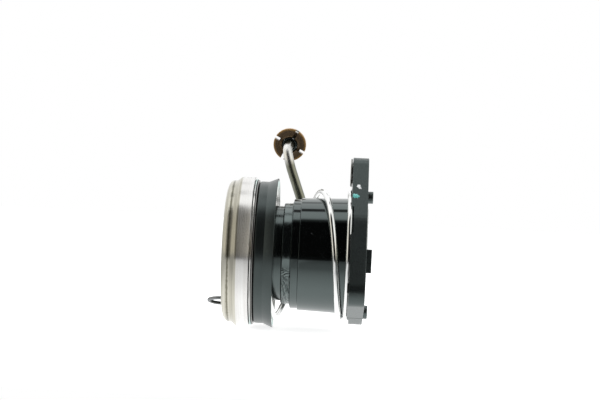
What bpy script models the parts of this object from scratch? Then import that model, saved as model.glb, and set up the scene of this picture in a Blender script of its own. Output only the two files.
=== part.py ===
"""Concentric clutch slave cylinder with its release bearing, preload spring and hydraulic pipe.

The bore's axis is X and the origin lies on it, in the face that bolts to the gearbox. The
release bearing points to -X, the first bolt ear to +Z, and the pipe runs on the +Y side.
"""

import math

import bmesh
import bpy
from mathutils import Matrix, Vector

MM = 0.001

# Clearance between neighbouring pieces, and the facets of the round ones
GAP = 0.3 * MM
ROUND = 32
HIDDEN_ROUND = 28
SEAL_ROUND = 20
SMALL_ROUND = 14
POCKET_STEPS = 8
DRILLING_STEPS = 8
FILLET_STEPS = 3
LOBE_STEPS = 6

# Flange: a disc with three bolt ears and a lobe for the hydraulic port
FLANGE_THICK = 7.8 * MM
FLANGE_RIM = 0.5 * MM
FLANGE_EDGE = 0.6 * MM
EAR_REACH = 8.0 * MM
EAR_R = 7.6 * MM
EAR_ANGLES = {"top": 90.0, "near": 201.0, "far": 339.0}

# Cylinder barrel in front of the flange, its walls counted from the bore
FLUID_SPACE = 6.5 * MM
BARREL_ROOT_WALL = 4.95 * MM
BARREL_FRONT_WALL = 4.1 * MM
BARREL_LENGTH = 24.85 * MM
NECK_WALL = 3.35 * MM
NECK_LENGTH = 3.65 * MM
FLOOR_THICK = 5.0 * MM
SHOULDER_EDGE = 0.4 * MM

# Steel guide tube that the piston slides on
TUBE_R = 17.4 * MM
TUBE_WALL = 1.2 * MM
TUBE_LENGTH = 54.8 * MM
TUBE_FLANGE_WIDTH = 4.6 * MM
TUBE_FLANGE_THICK = 1.3 * MM
TUBE_SEAL_OFFSET = 2.5 * MM
SMALL_SEAL_R = 0.75 * MM

# Snap ring near the tube's front end, which ends the piston's travel
STOP_RING_SET_BACK = 2.8 * MM
STOP_RING_WIDTH = 1.5 * MM
STOP_RING_HEIGHT = 2.2 * MM
STOP_GROOVE_DEPTH = 0.5 * MM
STOP_RING_SWEEP = 345.0

# Piston: sleeve, bearing flange and a nose that centres the bearing
STROKE = 12.0 * MM
PISTON_SLEEVE_LENGTH = 29.7 * MM
PISTON_FLANGE_HEIGHT = 4.0 * MM
PISTON_FLANGE_THICK = 4.0 * MM
NOSE_WALL = 5.0 * MM
NOSE_LIP = 0.7 * MM
NOSE_GROOVE_DEPTH = 0.6 * MM
SEAL_LENGTH = 6.7 * MM
SEAL_LIP_DEPTH = 3.8 * MM
SEAL_LIP_THICK = 1.3 * MM

# Rubber wiper in the mouth of the cylinder
WIPER_WALL = 1.25 * MM
WIPER_PROUD = 4.6 * MM
WIPER_ROOT_WALL = 2.1 * MM
WIPER_ROOT_DEPTH = 1.8 * MM

# Preload spring, counted in turns from the place under the axis where it leaves the collar
WIRE_R = 1.5 * MM
SPRING_CLEARANCE = 1.4 * MM
SPRING_SEAT_DEPTH = 0.8 * MM
SPRING_TIP = -1.24
SPRING_END = 1.93
SPRING_STEPS_PER_TURN = 22
# Share of the way from the collar to the flange that the wire has gone after so many turns
SPRING_PATH = ((-0.57, 0.0), (0.0, 0.18), (0.25, 0.425), (0.45, 0.62), (0.6, 0.757),
               (0.75, 0.852), (0.93, 0.921), (1.1, 0.96), (1.4, 1.0))

# Collar that carries the spring's front end
COLLAR_CLEARANCE = 0.8 * MM
COLLAR_SHEET = 1.3 * MM
COLLAR_CYLINDER_LENGTH = 4.6 * MM
COLLAR_FLARE = 2.0 * MM
COLLAR_LIP_LENGTH = 4.7 * MM
COLLAR_EDGE = 0.8 * MM

# Plates between the collar and the bearing
CENTRING_THICK = 0.5 * MM
CENTRING_WIDTH = 6.7 * MM
SHIELD_THICK = 0.8 * MM
SHIELD_SET_BACK = 0.8 * MM
SHIELD_RIM_WIDTH = 3.0 * MM
SHIELD_HUB_WIDTH = 4.7 * MM

# Release bearing
BALL_R = 3.3 * MM
BALL_COUNT = 16
INNER_SHEET = 1.4 * MM
INNER_FLANGE_CLEARANCE = 0.8 * MM
INNER_LENGTH = 6.8 * MM
SHELL_SHEET = 1.4 * MM
SHELL_STEP = 1.9 * MM
SHELL_BAND_LENGTH = 6.3 * MM
SHELL_STEP_LENGTH = 0.9 * MM
SHELL_BORE_CLEARANCE = 1.0 * MM
SHELL_NOSE_EDGE = 1.2 * MM
FRONT_SEAL_THICK = 0.4 * MM
CAGE_CLEARANCE = 0.5 * MM
CAGE_WALL = 3.7 * MM
CAGE_RIM_WALL = 1.2 * MM
CAGE_RIM_BACK = 1.0 * MM
CAGE_FINGER_FRONT = 2.0 * MM
CAGE_CHAMFER = 1.4 * MM

# Spring-wire clip in front of the bearing's inner ring, with a loop to pull it by
CLIP_WIRE_R = 0.9 * MM
CLIP_OPENING = 20.0
CLIP_LOOP_ANGLE = 255.0
CLIP_LOOP_R = 7.0 * MM
CLIP_LOOP_LIFT = 0.9 * MM
CLIP_BEND_R = 1.6 * MM
CLIP_LOOP_STEPS = 10

# Hydraulic port and pipe on the far side
PORT_REACH = 8.25 * MM
PORT_Z = 2.0 * MM
PORT_R = 7.0 * MM
PORT_LENGTH = 6.2 * MM
PORT_DRILLING_R = 1.2 * MM
PIPE_R = 2.5 * MM
PIPE_WALL = 0.9 * MM
PIPE_INSERTION = 5.4 * MM
PIPE_KNEE_X = -24.7 * MM
PIPE_LEAN_X = -40.0 * MM
PIPE_LEAN_Z = 43.4 * MM
PIPE_TOP_X = -42.8 * MM
PIPE_TOP_Z = 53.1 * MM
PIPE_PAST_COLLET = 12.4 * MM
PIPE_KNEE_R = 11.0 * MM
PIPE_LEAN_R = 30.0 * MM
PIPE_TOP_R = 7.5 * MM
PIPE_SIDES = 8

# Plug-in connector on the pipe's end, measured along Y from the collet's near face
COLLET_PLACE = (-41.87 * MM, 55.6 * MM, 56.3 * MM)
COLLET_R = 8.8 * MM
COLLET_THICK = 2.6 * MM
COLLET_HUB_R = 6.2 * MM
COLLET_LENGTH = 9.0 * MM
COLLET_BORE_R = 4.3 * MM
COLLET_SLOT = 1.2 * MM
COLLET_SLOT_DEPTH = 7.4 * MM
COLLET_SLOT_ANGLE = 28.0
SLEEVE_WALL = 1.0 * MM
SLEEVE_LENGTH = 4.4 * MM
SPIGOT_NECK_R = 4.0 * MM
SPIGOT_COLLAR_R = 6.0 * MM
SPIGOT_COLLAR_LENGTH = 3.0 * MM
SPIGOT_R = 5.0 * MM
SPIGOT_LENGTH = 9.5 * MM
SPIGOT_GROOVE_R = 3.7 * MM
SPIGOT_BORE_R = 1.7 * MM

# Steel bushes in the bolt ears
BUSH_R = 5.3 * MM
BUSH_HOLE_R = 4.2 * MM
BUSH_HEAD_R = 7.0 * MM
BUSH_HEAD_THICK = 0.8 * MM

# Rear face: seal ring, locating pegs and key block
FACE_SEAL_LAND = 1.3 * MM
FACE_SEAL_WIDTH = 2.0 * MM
FACE_SEAL_DEPTH = 1.6 * MM
FACE_SEAL_PROUD = 0.65 * MM
UPPER_PEG_R = 3.0 * MM
UPPER_PEG_SET_BACK = 2.41 * MM
UPPER_PEG_ANGLE = 108.6
UPPER_PEG_LENGTH = 2.35 * MM
LOWER_PEG_R = 3.25 * MM
LOWER_PEG_SET_BACK = 4.01 * MM
LOWER_PEG_ANGLE = 246.6
LOWER_PEG_LENGTH = 1.7 * MM
KEY_SET_BACK = 2.15 * MM
KEY_WIDTH = 2.6 * MM
KEY_TOP_Z = 4.0 * MM
KEY_HEIGHT = 11.8 * MM
KEY_LENGTH = 2.35 * MM
PEG_EDGE = 0.4 * MM
CUTTER_REACH = 2.0 * MM

# Radii, worked out from the guide tube outwards
CYLINDER_R = TUBE_R + FLUID_SPACE
BARREL_ROOT_R = CYLINDER_R + BARREL_ROOT_WALL
BARREL_FRONT_R = CYLINDER_R + BARREL_FRONT_WALL
NECK_R = CYLINDER_R + NECK_WALL
WIPER_R = CYLINDER_R + WIPER_WALL
WIPER_ROOT_R = CYLINDER_R + WIPER_ROOT_WALL
TUBE_SEAL_R = TUBE_R + TUBE_SEAL_OFFSET
TUBE_FLANGE_R = TUBE_R + TUBE_FLANGE_WIDTH
FACE_SEAL_R = TUBE_FLANGE_R + 2 * GAP + FACE_SEAL_LAND + FACE_SEAL_WIDTH / 2
SPRING_R = BARREL_ROOT_R + SPRING_CLEARANCE + WIRE_R
FLANGE_R = SPRING_R + WIRE_R + FLANGE_RIM
BOLT_CIRCLE_R = FLANGE_R + EAR_REACH
PORT_Y = FLANGE_R + PORT_REACH
COLLAR_R = SPRING_R + WIRE_R + COLLAR_CLEARANCE + COLLAR_SHEET
COLLAR_LIP_R = COLLAR_R + COLLAR_FLARE
STOP_RECESS_R = TUBE_R - STOP_GROOVE_DEPTH + STOP_RING_HEIGHT + 3 * GAP
NOSE_R = STOP_RECESS_R + NOSE_WALL
PISTON_FLANGE_R = NOSE_R + PISTON_FLANGE_HEIGHT
CENTRING_R = PISTON_FLANGE_R + GAP + CENTRING_WIDTH
CLIP_RING_R = NOSE_R - NOSE_GROOVE_DEPTH + GAP + CLIP_WIRE_R
TRACK_R = BALL_R + GAP
INNER_BORE_R = NOSE_R + GAP
INNER_CYLINDER_R = INNER_BORE_R + INNER_SHEET
BALL_CIRCLE_R = INNER_CYLINDER_R + TRACK_R
CAGE_R = BALL_CIRCLE_R + TRACK_R - CAGE_CLEARANCE
CAGE_INNER_R = CAGE_R - CAGE_WALL
CAGE_RIM_INNER_R = CAGE_R - CAGE_RIM_WALL
INNER_FLANGE_R = CAGE_RIM_INNER_R - INNER_FLANGE_CLEARANCE
SHELL_BORE_R = INNER_CYLINDER_R + SHELL_BORE_CLEARANCE
SHELL_ROLL_R = TRACK_R + SHELL_SHEET
SHELL_FRONT_R = BALL_CIRCLE_R + SHELL_ROLL_R
SHELL_BAND_R = SHELL_FRONT_R + SHELL_STEP
SHIELD_R = SHELL_BAND_R - SHIELD_SET_BACK
SHIELD_DISH_OUTER_R = SHIELD_R - SHIELD_RIM_WIDTH
SHIELD_DISH_INNER_R = NOSE_R + GAP + SHIELD_HUB_WIDTH

# Places along the axis, worked out from the sizes above
FLANGE_FRONT_X = -FLANGE_THICK
SPRING_SEAT_X = FLANGE_FRONT_X + SPRING_SEAT_DEPTH
SHOULDER_X = FLANGE_FRONT_X - BARREL_LENGTH
MOUTH_X = SHOULDER_X - NECK_LENGTH
FLOOR_X = -FLOOR_THICK
SEAL_BACK_X = FLOOR_X - GAP - STROKE
PISTON_BACK_X = SEAL_BACK_X - SEAL_LENGTH - GAP
PISTON_FLANGE_BACK_X = PISTON_BACK_X - PISTON_SLEEVE_LENGTH
PISTON_FLANGE_FRONT_X = PISTON_FLANGE_BACK_X - PISTON_FLANGE_THICK
COLLAR_FRONT_X = PISTON_FLANGE_BACK_X + GAP
COLLAR_BACK_X = COLLAR_FRONT_X + COLLAR_SHEET
CENTRING_BACK_X = COLLAR_FRONT_X - GAP
CENTRING_FRONT_X = CENTRING_BACK_X - CENTRING_THICK
SHIELD_RIM_BACK_X = CENTRING_FRONT_X - GAP
SHIELD_RIM_FRONT_X = SHIELD_RIM_BACK_X - SHIELD_THICK
SHIELD_HUB_BACK_X = PISTON_FLANGE_FRONT_X - GAP
SHIELD_HUB_FRONT_X = SHIELD_HUB_BACK_X - SHIELD_THICK
INNER_BACK_X = SHIELD_HUB_FRONT_X - GAP
INNER_FRONT_X = INNER_BACK_X - INNER_LENGTH
BALL_X = INNER_BACK_X - INNER_SHEET - TRACK_R
SHELL_BACK_X = SHIELD_RIM_FRONT_X - GAP
SHELL_INNER_FRONT_X = BALL_X - TRACK_R
SHELL_FRONT_X = SHELL_INNER_FRONT_X - SHELL_SHEET
CLIP_X = INNER_FRONT_X - GAP - CLIP_WIRE_R
NOSE_FRONT_X = CLIP_X - CLIP_WIRE_R - NOSE_LIP
TUBE_BACK_X = -GAP
TUBE_RECESS_X = TUBE_BACK_X - TUBE_FLANGE_THICK - GAP
STOP_SHOULDER_X = -TUBE_LENGTH + STOP_RING_SET_BACK
STOP_RING_BACK_X = STOP_SHOULDER_X - GAP
PORT_FRONT_X = FLANGE_FRONT_X - PORT_LENGTH
PORT_DRILLING_X = (FLANGE_FRONT_X + FLOOR_X) / 2


def clear_scene():
    """Remove whatever the file holds."""
    for thing in list(bpy.data.objects):
        bpy.data.objects.remove(thing, do_unlink=True)


def material(name, colour, metallic, roughness):
    """A Principled material, made once for each name."""
    found = bpy.data.materials.get(name)
    if found:
        return found
    made = bpy.data.materials.new(name)
    made.use_nodes = True
    shader = made.node_tree.nodes["Principled BSDF"]
    shader.inputs["Base Color"].default_value = (*colour, 1.0)
    shader.inputs["Metallic"].default_value = metallic
    shader.inputs["Roughness"].default_value = roughness
    made.diffuse_color = (*colour, 1.0)
    return made


def black_plastic():
    return material("black_plastic", (0.02, 0.02, 0.02), 0.0, 0.28)


def brown_nylon():
    return material("brown_nylon", (0.12, 0.065, 0.025), 0.0, 0.35)


def rubber():
    return material("rubber", (0.015, 0.015, 0.015), 0.0, 0.75)


def pale_rubber():
    return material("pale_rubber", (0.6, 0.6, 0.58), 0.0, 0.6)


def bright_steel():
    return material("bright_steel", (0.75, 0.75, 0.74), 1.0, 0.2)


def brushed_steel():
    return material("brushed_steel", (0.55, 0.53, 0.5), 1.0, 0.35)


def dark_steel():
    return material("dark_steel", (0.18, 0.19, 0.17), 1.0, 0.4)


def plated_pipe():
    return material("plated_pipe", (0.22, 0.23, 0.17), 1.0, 0.4)


def blackened_steel():
    return material("blackened_steel", (0.045, 0.047, 0.048), 0.4, 0.5)


def place(name, bm, finish):
    """Close a bmesh into a smooth-shaded object with its faces pointing out."""
    bmesh.ops.recalc_face_normals(bm, faces=bm.faces[:])
    mesh = bpy.data.meshes.new(name)
    bm.to_mesh(mesh)
    bm.free()
    mesh.shade_smooth()
    mesh.set_sharp_from_angle(angle=math.radians(35))
    made = bpy.data.objects.new(name, mesh)
    if finish:
        mesh.materials.append(finish)
    bpy.context.scene.collection.objects.link(made)
    return made


def arc(centre, radius, start, end, steps):
    """Points on an arc in a plane, from one angle to another, in degrees."""
    a, b = centre
    points = []
    for i in range(steps + 1):
        angle = math.radians(start + (end - start) * i / steps)
        points.append((a + radius * math.cos(angle), b + radius * math.sin(angle)))
    return points


def rounded(corners, steps=FILLET_STEPS):
    """A closed outline through corners (a, b, fillet radius), its fillets drawn as arcs."""
    points = []
    for i, (a, b, radius) in enumerate(corners):
        here = Vector((a, b))
        if radius <= 0:
            points.append((a, b))
            continue
        before = (Vector(corners[i - 1][:2]) - here).normalized()
        after = (Vector(corners[(i + 1) % len(corners)][:2]) - here).normalized()
        half = before.angle(after) / 2
        centre = here + (before + after).normalized() * (radius / math.sin(half))
        first = here + before * (radius / math.tan(half)) - centre
        last = here + after * (radius / math.tan(half)) - centre
        turn = first.angle_signed(last)
        for k in range(steps + 1):
            spoke = first.copy()
            spoke.rotate(Matrix.Rotation(-turn * k / steps, 2))
            points.append(tuple(centre + spoke))
    return points


def turned(name, profile, finish, segments=ROUND, sweep=360.0):
    """Spin a closed profile of (x, radius) points round the X axis."""
    bm = bmesh.new()
    verts = [bm.verts.new((x, 0.0, r)) for x, r in profile]
    edges = [bm.edges.new((verts[i - 1], verts[i])) for i in range(len(verts))]
    whole = sweep >= 360.0
    bmesh.ops.spin(
        bm, geom=verts + edges, cent=(0, 0, 0), axis=(1, 0, 0),
        angle=math.radians(sweep), steps=segments, use_merge=whole,
    )
    if not whole:
        ends = [edge for edge in bm.edges if edge.is_boundary]
        bmesh.ops.holes_fill(bm, edges=ends, sides=0)
    bmesh.ops.remove_doubles(bm, verts=bm.verts[:], dist=MM / 1000)
    return place(name, bm, finish)


def washer(name, back, front, inner, outer, finish, edge=0.0, segments=HIDDEN_ROUND):
    """A flat ring between two planes across the axis, its outer corners rounded."""
    corners = [(back, inner, 0), (back, outer, edge), (front, outer, edge), (front, inner, 0)]
    return turned(name, rounded(corners, 1), finish, segments)


def torus(name, x, ring_r, section_r, finish, sides=6, segments=HIDDEN_ROUND):
    """A ring of round section round the X axis."""
    section = arc((x, ring_r), section_r, 0, 360, sides)[:-1]
    return turned(name, section, finish, segments)


def prism(name, outline, back, front, finish, edge=0.0):
    """Extrude a closed (y, z) outline along X between two planes, its rims bevelled."""
    bm = bmesh.new()
    face = bm.faces.new([bm.verts.new((back, y, z)) for y, z in outline])
    moved = bmesh.ops.extrude_face_region(bm, geom=[face])
    new_verts = [item for item in moved["geom"] if isinstance(item, bmesh.types.BMVert)]
    bmesh.ops.translate(bm, verts=new_verts, vec=(front - back, 0, 0))
    if edge:
        rims = [e for e in bm.edges if abs(e.verts[0].co.x - e.verts[1].co.x) < MM / 100]
        bmesh.ops.bevel(bm, geom=rims, offset=edge, segments=1, affect="EDGES", profile=0.5)
    return place(name, bm, finish)


def peg(name, y, z, radius, back, front, finish, edge=0.0, sides=SMALL_ROUND):
    """A round bar along X at a place on the flange."""
    return prism(name, arc((y, z), radius, 0, 360, sides)[:-1], back, front, finish, edge)


def combine(target, other, operation, solver="EXACT"):
    """Add another shape to a body or cut it away, and keep it only as a guide."""
    modifier = target.modifiers.new(f"{operation.lower()}_{other.name}", "BOOLEAN")
    modifier.operation = operation
    modifier.solver = solver
    modifier.object = other
    other.hide_render = True
    other.display_type = "WIRE"


def polar(radius, degrees):
    """The (y, z) place at a radius and angle round the axis, counted from +Y towards +Z."""
    angle = math.radians(degrees)
    return radius * math.cos(angle), radius * math.sin(angle)


def lobed_outline(disc_r, lobes):
    """A disc with round lobes on straight tangent sides. A lobe is (angle, distance, radius)."""
    spans = []
    for angle, distance, radius in sorted(lobes):
        spread = math.degrees(math.acos((disc_r - radius) / distance))
        spans.append((angle, spread, distance, radius))
    outline = []
    for i, (angle, spread, distance, radius) in enumerate(spans):
        outline += arc(polar(distance, angle), radius, angle - spread, angle + spread, LOBE_STEPS)
        following = spans[(i + 1) % len(spans)]
        turn = 360.0 if i + 1 == len(spans) else 0.0
        leaves, meets = angle + spread, following[0] - following[1] + turn
        if meets > leaves:
            steps = max(2, round((meets - leaves) / (360 / ROUND)))
            outline += arc((0, 0), disc_r, leaves, meets, steps)
        else:
            half = math.radians((leaves - meets) / 2)
            outline.append(polar(disc_r / math.cos(half), (leaves + meets) / 2))
    kept = []
    for point in outline:
        if not kept or math.dist(point, kept[-1]) > MM / 100:
            kept.append(point)
    if math.dist(kept[0], kept[-1]) < MM / 100:
        kept.pop()
    return kept


def housing():
    """Flange, cylinder barrel and hydraulic port, moulded as one piece."""
    finish = black_plastic()
    port_angle = math.degrees(math.atan2(PORT_Z, PORT_Y))
    port_distance = math.hypot(PORT_Y, PORT_Z)
    lobes = [(angle, BOLT_CIRCLE_R, EAR_R) for angle in EAR_ANGLES.values()]
    lobes.append((port_angle, port_distance, PORT_R))
    body = prism("housing", lobed_outline(FLANGE_R, lobes), 0.0, FLANGE_FRONT_X, finish, FLANGE_EDGE)

    sunk = FLANGE_THICK / 2
    taper = (BARREL_ROOT_R - BARREL_FRONT_R) / BARREL_LENGTH
    barrel = turned("barrel_shape", rounded([
        (-sunk, CYLINDER_R / 2, 0),
        (-sunk, BARREL_ROOT_R + taper * sunk, 0),
        (SHOULDER_X, BARREL_FRONT_R, SHOULDER_EDGE),
        (SHOULDER_X, NECK_R, 0),
        (MOUTH_X, NECK_R, SHOULDER_EDGE),
        (MOUTH_X, CYLINDER_R / 2, 0),
    ], 1), finish)
    combine(body, barrel, "UNION")

    boss_r = PORT_R - FLANGE_EDGE
    boss = peg("port_boss", PORT_Y, PORT_Z, boss_r, -sunk, PORT_FRONT_X, finish, FLANGE_EDGE,
               SEAL_ROUND)
    combine(body, boss, "UNION")
    y, z = polar(FLANGE_R - UPPER_PEG_SET_BACK, UPPER_PEG_ANGLE)
    upper = peg("upper_peg", y, z, UPPER_PEG_R, -sunk, UPPER_PEG_LENGTH, finish, PEG_EDGE)
    combine(body, upper, "UNION")
    y, z = polar(FLANGE_R - LOWER_PEG_SET_BACK, LOWER_PEG_ANGLE)
    lower = peg("lower_peg", y, z, LOWER_PEG_R, -sunk, LOWER_PEG_LENGTH, finish, PEG_EDGE)
    combine(body, lower, "UNION")
    key_middle = KEY_SET_BACK - FLANGE_R
    key_outer = key_middle - KEY_WIDTH / 2
    key_inner = key_middle + KEY_WIDTH / 2
    key_low = KEY_TOP_Z - KEY_HEIGHT
    key_outline = [(key_outer, key_low), (key_inner, key_low),
                   (key_inner, KEY_TOP_Z), (key_outer, KEY_TOP_Z)]
    key = prism("key_block", key_outline, -sunk, KEY_LENGTH, finish)
    combine(body, key, "UNION")

    wiper_room = WIPER_ROOT_DEPTH + 2 * GAP
    seal_groove = SMALL_SEAL_R + GAP
    bore = turned("bore_cutter", [
        (MM, 0.0), (MM, TUBE_FLANGE_R + GAP),
        (TUBE_RECESS_X, TUBE_FLANGE_R + GAP),
        (TUBE_RECESS_X, TUBE_SEAL_R + seal_groove),
        (TUBE_RECESS_X - 2 * SMALL_SEAL_R, TUBE_SEAL_R + seal_groove),
        (TUBE_RECESS_X - 2 * SMALL_SEAL_R, TUBE_SEAL_R - seal_groove),
        (TUBE_RECESS_X, TUBE_SEAL_R - seal_groove),
        (TUBE_RECESS_X, TUBE_R + GAP),
        (FLOOR_X, TUBE_R + GAP),
        (FLOOR_X, CYLINDER_R),
        (MOUTH_X + wiper_room, CYLINDER_R),
        (MOUTH_X + wiper_room, WIPER_ROOT_R + GAP),
        (MOUTH_X - MM, WIPER_ROOT_R + GAP),
        (MOUTH_X - MM, 0.0),
    ], None, HIDDEN_ROUND)
    combine(body, bore, "DIFFERENCE", "MANIFOLD")

    spring_outer = SPRING_R + WIRE_R
    seat = washer("spring_seat_cutter", SPRING_SEAT_X, FLANGE_FRONT_X - MM,
                  BARREL_ROOT_R + GAP / 2, spring_outer + 3 * GAP, None, segments=ROUND)
    combine(body, seat, "DIFFERENCE", "MANIFOLD")
    half_seal = FACE_SEAL_WIDTH / 2 + GAP
    seal_room = washer("face_seal_cutter", MM, -FACE_SEAL_DEPTH - GAP,
                       FACE_SEAL_R - half_seal, FACE_SEAL_R + half_seal, None)
    combine(body, seal_room, "DIFFERENCE", "MANIFOLD")

    for where, angle in EAR_ANGLES.items():
        y, z = polar(BOLT_CIRCLE_R, angle)
        hole = peg(f"{where}_hole_cutter", y, z, BUSH_R + GAP, MM, FLANGE_FRONT_X - MM, None)
        combine(body, hole, "DIFFERENCE", "MANIFOLD")

    socket = turned("socket_cutter", [
        (FLOOR_X, 0.0), (FLOOR_X, PORT_DRILLING_R),
        (PORT_FRONT_X + PIPE_INSERTION, PORT_DRILLING_R),
        (PORT_FRONT_X + PIPE_INSERTION, PIPE_R + GAP),
        (PORT_FRONT_X + PIPE_INSERTION / 2 + SMALL_SEAL_R, PIPE_R + GAP),
        (PORT_FRONT_X + PIPE_INSERTION / 2 + SMALL_SEAL_R, PIPE_R + 3 * GAP + 2 * SMALL_SEAL_R),
        (PORT_FRONT_X + PIPE_INSERTION / 2 - SMALL_SEAL_R - GAP,
         PIPE_R + 3 * GAP + 2 * SMALL_SEAL_R),
        (PORT_FRONT_X + PIPE_INSERTION / 2 - SMALL_SEAL_R - GAP, PIPE_R + GAP),
        (PORT_FRONT_X - MM, PIPE_R + GAP), (PORT_FRONT_X - MM, 0.0),
    ], None, SMALL_ROUND)
    socket.location = (0, PORT_Y, PORT_Z)
    combine(body, socket, "DIFFERENCE", "MANIFOLD")

    drilling = turned("drilling_cutter", [
        (CYLINDER_R - MM, 0.0), (CYLINDER_R - MM, PORT_DRILLING_R),
        (port_distance, PORT_DRILLING_R), (port_distance, 0.0),
    ], None, DRILLING_STEPS)
    drilling.matrix_world = (Matrix.Translation((PORT_DRILLING_X, 0, 0))
                             @ Matrix.Rotation(math.radians(port_angle), 4, "X")
                             @ Matrix.Rotation(math.radians(90), 4, "Z"))
    combine(body, drilling, "DIFFERENCE", "MANIFOLD")
    return body


def guide_tube():
    """Thin steel tube with a rear flange and a groove for the stop ring."""
    inner = TUBE_R - TUBE_WALL
    groove = TUBE_R - STOP_GROOVE_DEPTH
    groove_back = STOP_RING_BACK_X + GAP / 2
    groove_front = STOP_RING_BACK_X - STOP_RING_WIDTH - GAP / 2
    return turned("guide_tube", rounded([
        (TUBE_BACK_X, inner, 0),
        (TUBE_BACK_X, TUBE_FLANGE_R, 0),
        (TUBE_BACK_X - TUBE_FLANGE_THICK, TUBE_FLANGE_R, 0),
        (TUBE_BACK_X - TUBE_FLANGE_THICK, TUBE_R, 0),
        (groove_back, TUBE_R, 0),
        (groove_back, groove, 0),
        (groove_front, groove, 0),
        (groove_front, TUBE_R, 0),
        (-TUBE_LENGTH, TUBE_R, SHOULDER_EDGE),
        (-TUBE_LENGTH, inner, 0),
    ], 1), dark_steel(), HIDDEN_ROUND)


def stop_ring():
    """Open snap ring in the tube's groove, against which the piston comes to rest."""
    inner = TUBE_R - STOP_GROOVE_DEPTH + GAP
    back, front = STOP_RING_BACK_X, STOP_RING_BACK_X - STOP_RING_WIDTH
    profile = [(back, inner), (back, inner + STOP_RING_HEIGHT),
               (front, inner + STOP_RING_HEIGHT), (front, inner)]
    return turned("stop_ring", profile, dark_steel(), SEAL_ROUND, STOP_RING_SWEEP)


def guide_tube_seal():
    """O-ring between the tube's flange and the housing."""
    x = TUBE_RECESS_X - SMALL_SEAL_R + GAP / 2
    return torus("guide_tube_seal", x, TUBE_SEAL_R, SMALL_SEAL_R, rubber(), segments=SEAL_ROUND)


def face_seal():
    """Moulded ring that stands a little proud of the mounting face."""
    half = FACE_SEAL_WIDTH / 2
    profile = rounded([
        (-FACE_SEAL_DEPTH, FACE_SEAL_R - half, 0), (-FACE_SEAL_DEPTH, FACE_SEAL_R + half, 0),
        (FACE_SEAL_PROUD, FACE_SEAL_R + half, half * 0.6),
        (FACE_SEAL_PROUD, FACE_SEAL_R - half, half * 0.6),
    ], 1)
    return turned("face_seal", profile, pale_rubber(), HIDDEN_ROUND)


def wiper_ring():
    """Rubber ring in the cylinder's mouth that wipes the piston sleeve."""
    inner = CYLINDER_R
    root_front = MOUTH_X - GAP
    root_back = MOUTH_X + WIPER_ROOT_DEPTH + GAP
    profile = rounded([
        (root_back, inner, 0), (root_back, WIPER_ROOT_R, 0), (root_front, WIPER_ROOT_R, 0),
        (root_front, WIPER_R, 0), (MOUTH_X - WIPER_PROUD, WIPER_R, SHOULDER_EDGE),
        (MOUTH_X - WIPER_PROUD, inner, 0),
    ], 1)
    return turned("wiper_ring", profile, rubber(), HIDDEN_ROUND)


def piston():
    """Annular piston: sleeve in the cylinder, flange behind the bearing and a nose inside it."""
    outer = CYLINDER_R - GAP
    inner = TUBE_R + GAP
    groove = NOSE_R - NOSE_GROOVE_DEPTH
    groove_back = CLIP_X + CLIP_WIRE_R + GAP
    groove_front = CLIP_X - CLIP_WIRE_R - GAP / 2
    return turned("piston", rounded([
        (PISTON_BACK_X, inner, 0),
        (PISTON_BACK_X, outer, SHOULDER_EDGE),
        (PISTON_FLANGE_BACK_X, outer, 0),
        (PISTON_FLANGE_BACK_X, PISTON_FLANGE_R, 0),
        (PISTON_FLANGE_FRONT_X, PISTON_FLANGE_R, 0),
        (PISTON_FLANGE_FRONT_X, NOSE_R, 0),
        (groove_back, NOSE_R, 0),
        (groove_back, groove, 0),
        (groove_front, groove, 0),
        (groove_front, NOSE_R, 0),
        (NOSE_FRONT_X, NOSE_R, 0),
        (NOSE_FRONT_X, STOP_RECESS_R, 0),
        (STOP_SHOULDER_X, STOP_RECESS_R, 0),
        (STOP_SHOULDER_X, inner, 0),
    ], 1), black_plastic(), HIDDEN_ROUND)


def piston_seal():
    """Annular lip seal behind the piston, its two lips facing the fluid."""
    outer = CYLINDER_R - GAP
    inner = TUBE_R + GAP
    heel = SEAL_BACK_X - SEAL_LENGTH
    valley = SEAL_BACK_X - SEAL_LIP_DEPTH
    middle = (outer + inner) / 2
    return turned("piston_seal", [
        (heel, inner), (heel, outer), (SEAL_BACK_X, outer),
        (SEAL_BACK_X, outer - SEAL_LIP_THICK), (valley, middle),
        (SEAL_BACK_X, inner + SEAL_LIP_THICK), (SEAL_BACK_X, inner),
    ], rubber(), SEAL_ROUND)


def smooth_share(turns, path):
    """Value at some turns on a smooth curve through a table's rising steps, level at both ends."""
    slopes = [(b[1] - a[1]) / (b[0] - a[0]) for a, b in zip(path, path[1:])]
    tangents = [0.0] + [2 * p * q / (p + q) for p, q in zip(slopes, slopes[1:])] + [0.0]
    turns = min(max(turns, path[0][0]), path[-1][0])
    i = max(k for k in range(len(slopes)) if turns >= path[k][0])
    (start, low), (end, high) = path[i], path[i + 1]
    t = (turns - start) / (end - start)
    ease = t * t * (3 - 2 * t)
    bend = (t - 1) ** 2 * t * tangents[i] + (t - 1) * t * t * tangents[i + 1]
    return low + (high - low) * ease + (end - start) * bend


def spring_point(turns):
    """The wire's centre after so many turns: closed at both ends, open between them."""
    front = COLLAR_BACK_X + GAP + WIRE_R
    back = SPRING_SEAT_X - GAP - WIRE_R
    angle = 2 * math.pi * turns
    return Vector((front + (back - front) * smooth_share(turns, SPRING_PATH),
                   SPRING_R * math.sin(angle), -SPRING_R * math.cos(angle)))


def round_wire(name, points, radius, finish, resolution=2):
    """A solid round wire along a list of points."""
    curve = bpy.data.curves.new(name, "CURVE")
    curve.dimensions = "3D"
    curve.bevel_depth = radius
    curve.bevel_resolution = resolution
    curve.use_fill_caps = True
    spline = curve.splines.new("POLY")
    spline.points.add(len(points) - 1)
    for slot, point in zip(spline.points, points):
        slot.co = (*point, 1.0)
    curve.materials.append(finish)
    made = bpy.data.objects.new(name, curve)
    bpy.context.scene.collection.objects.link(made)
    return made


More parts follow.
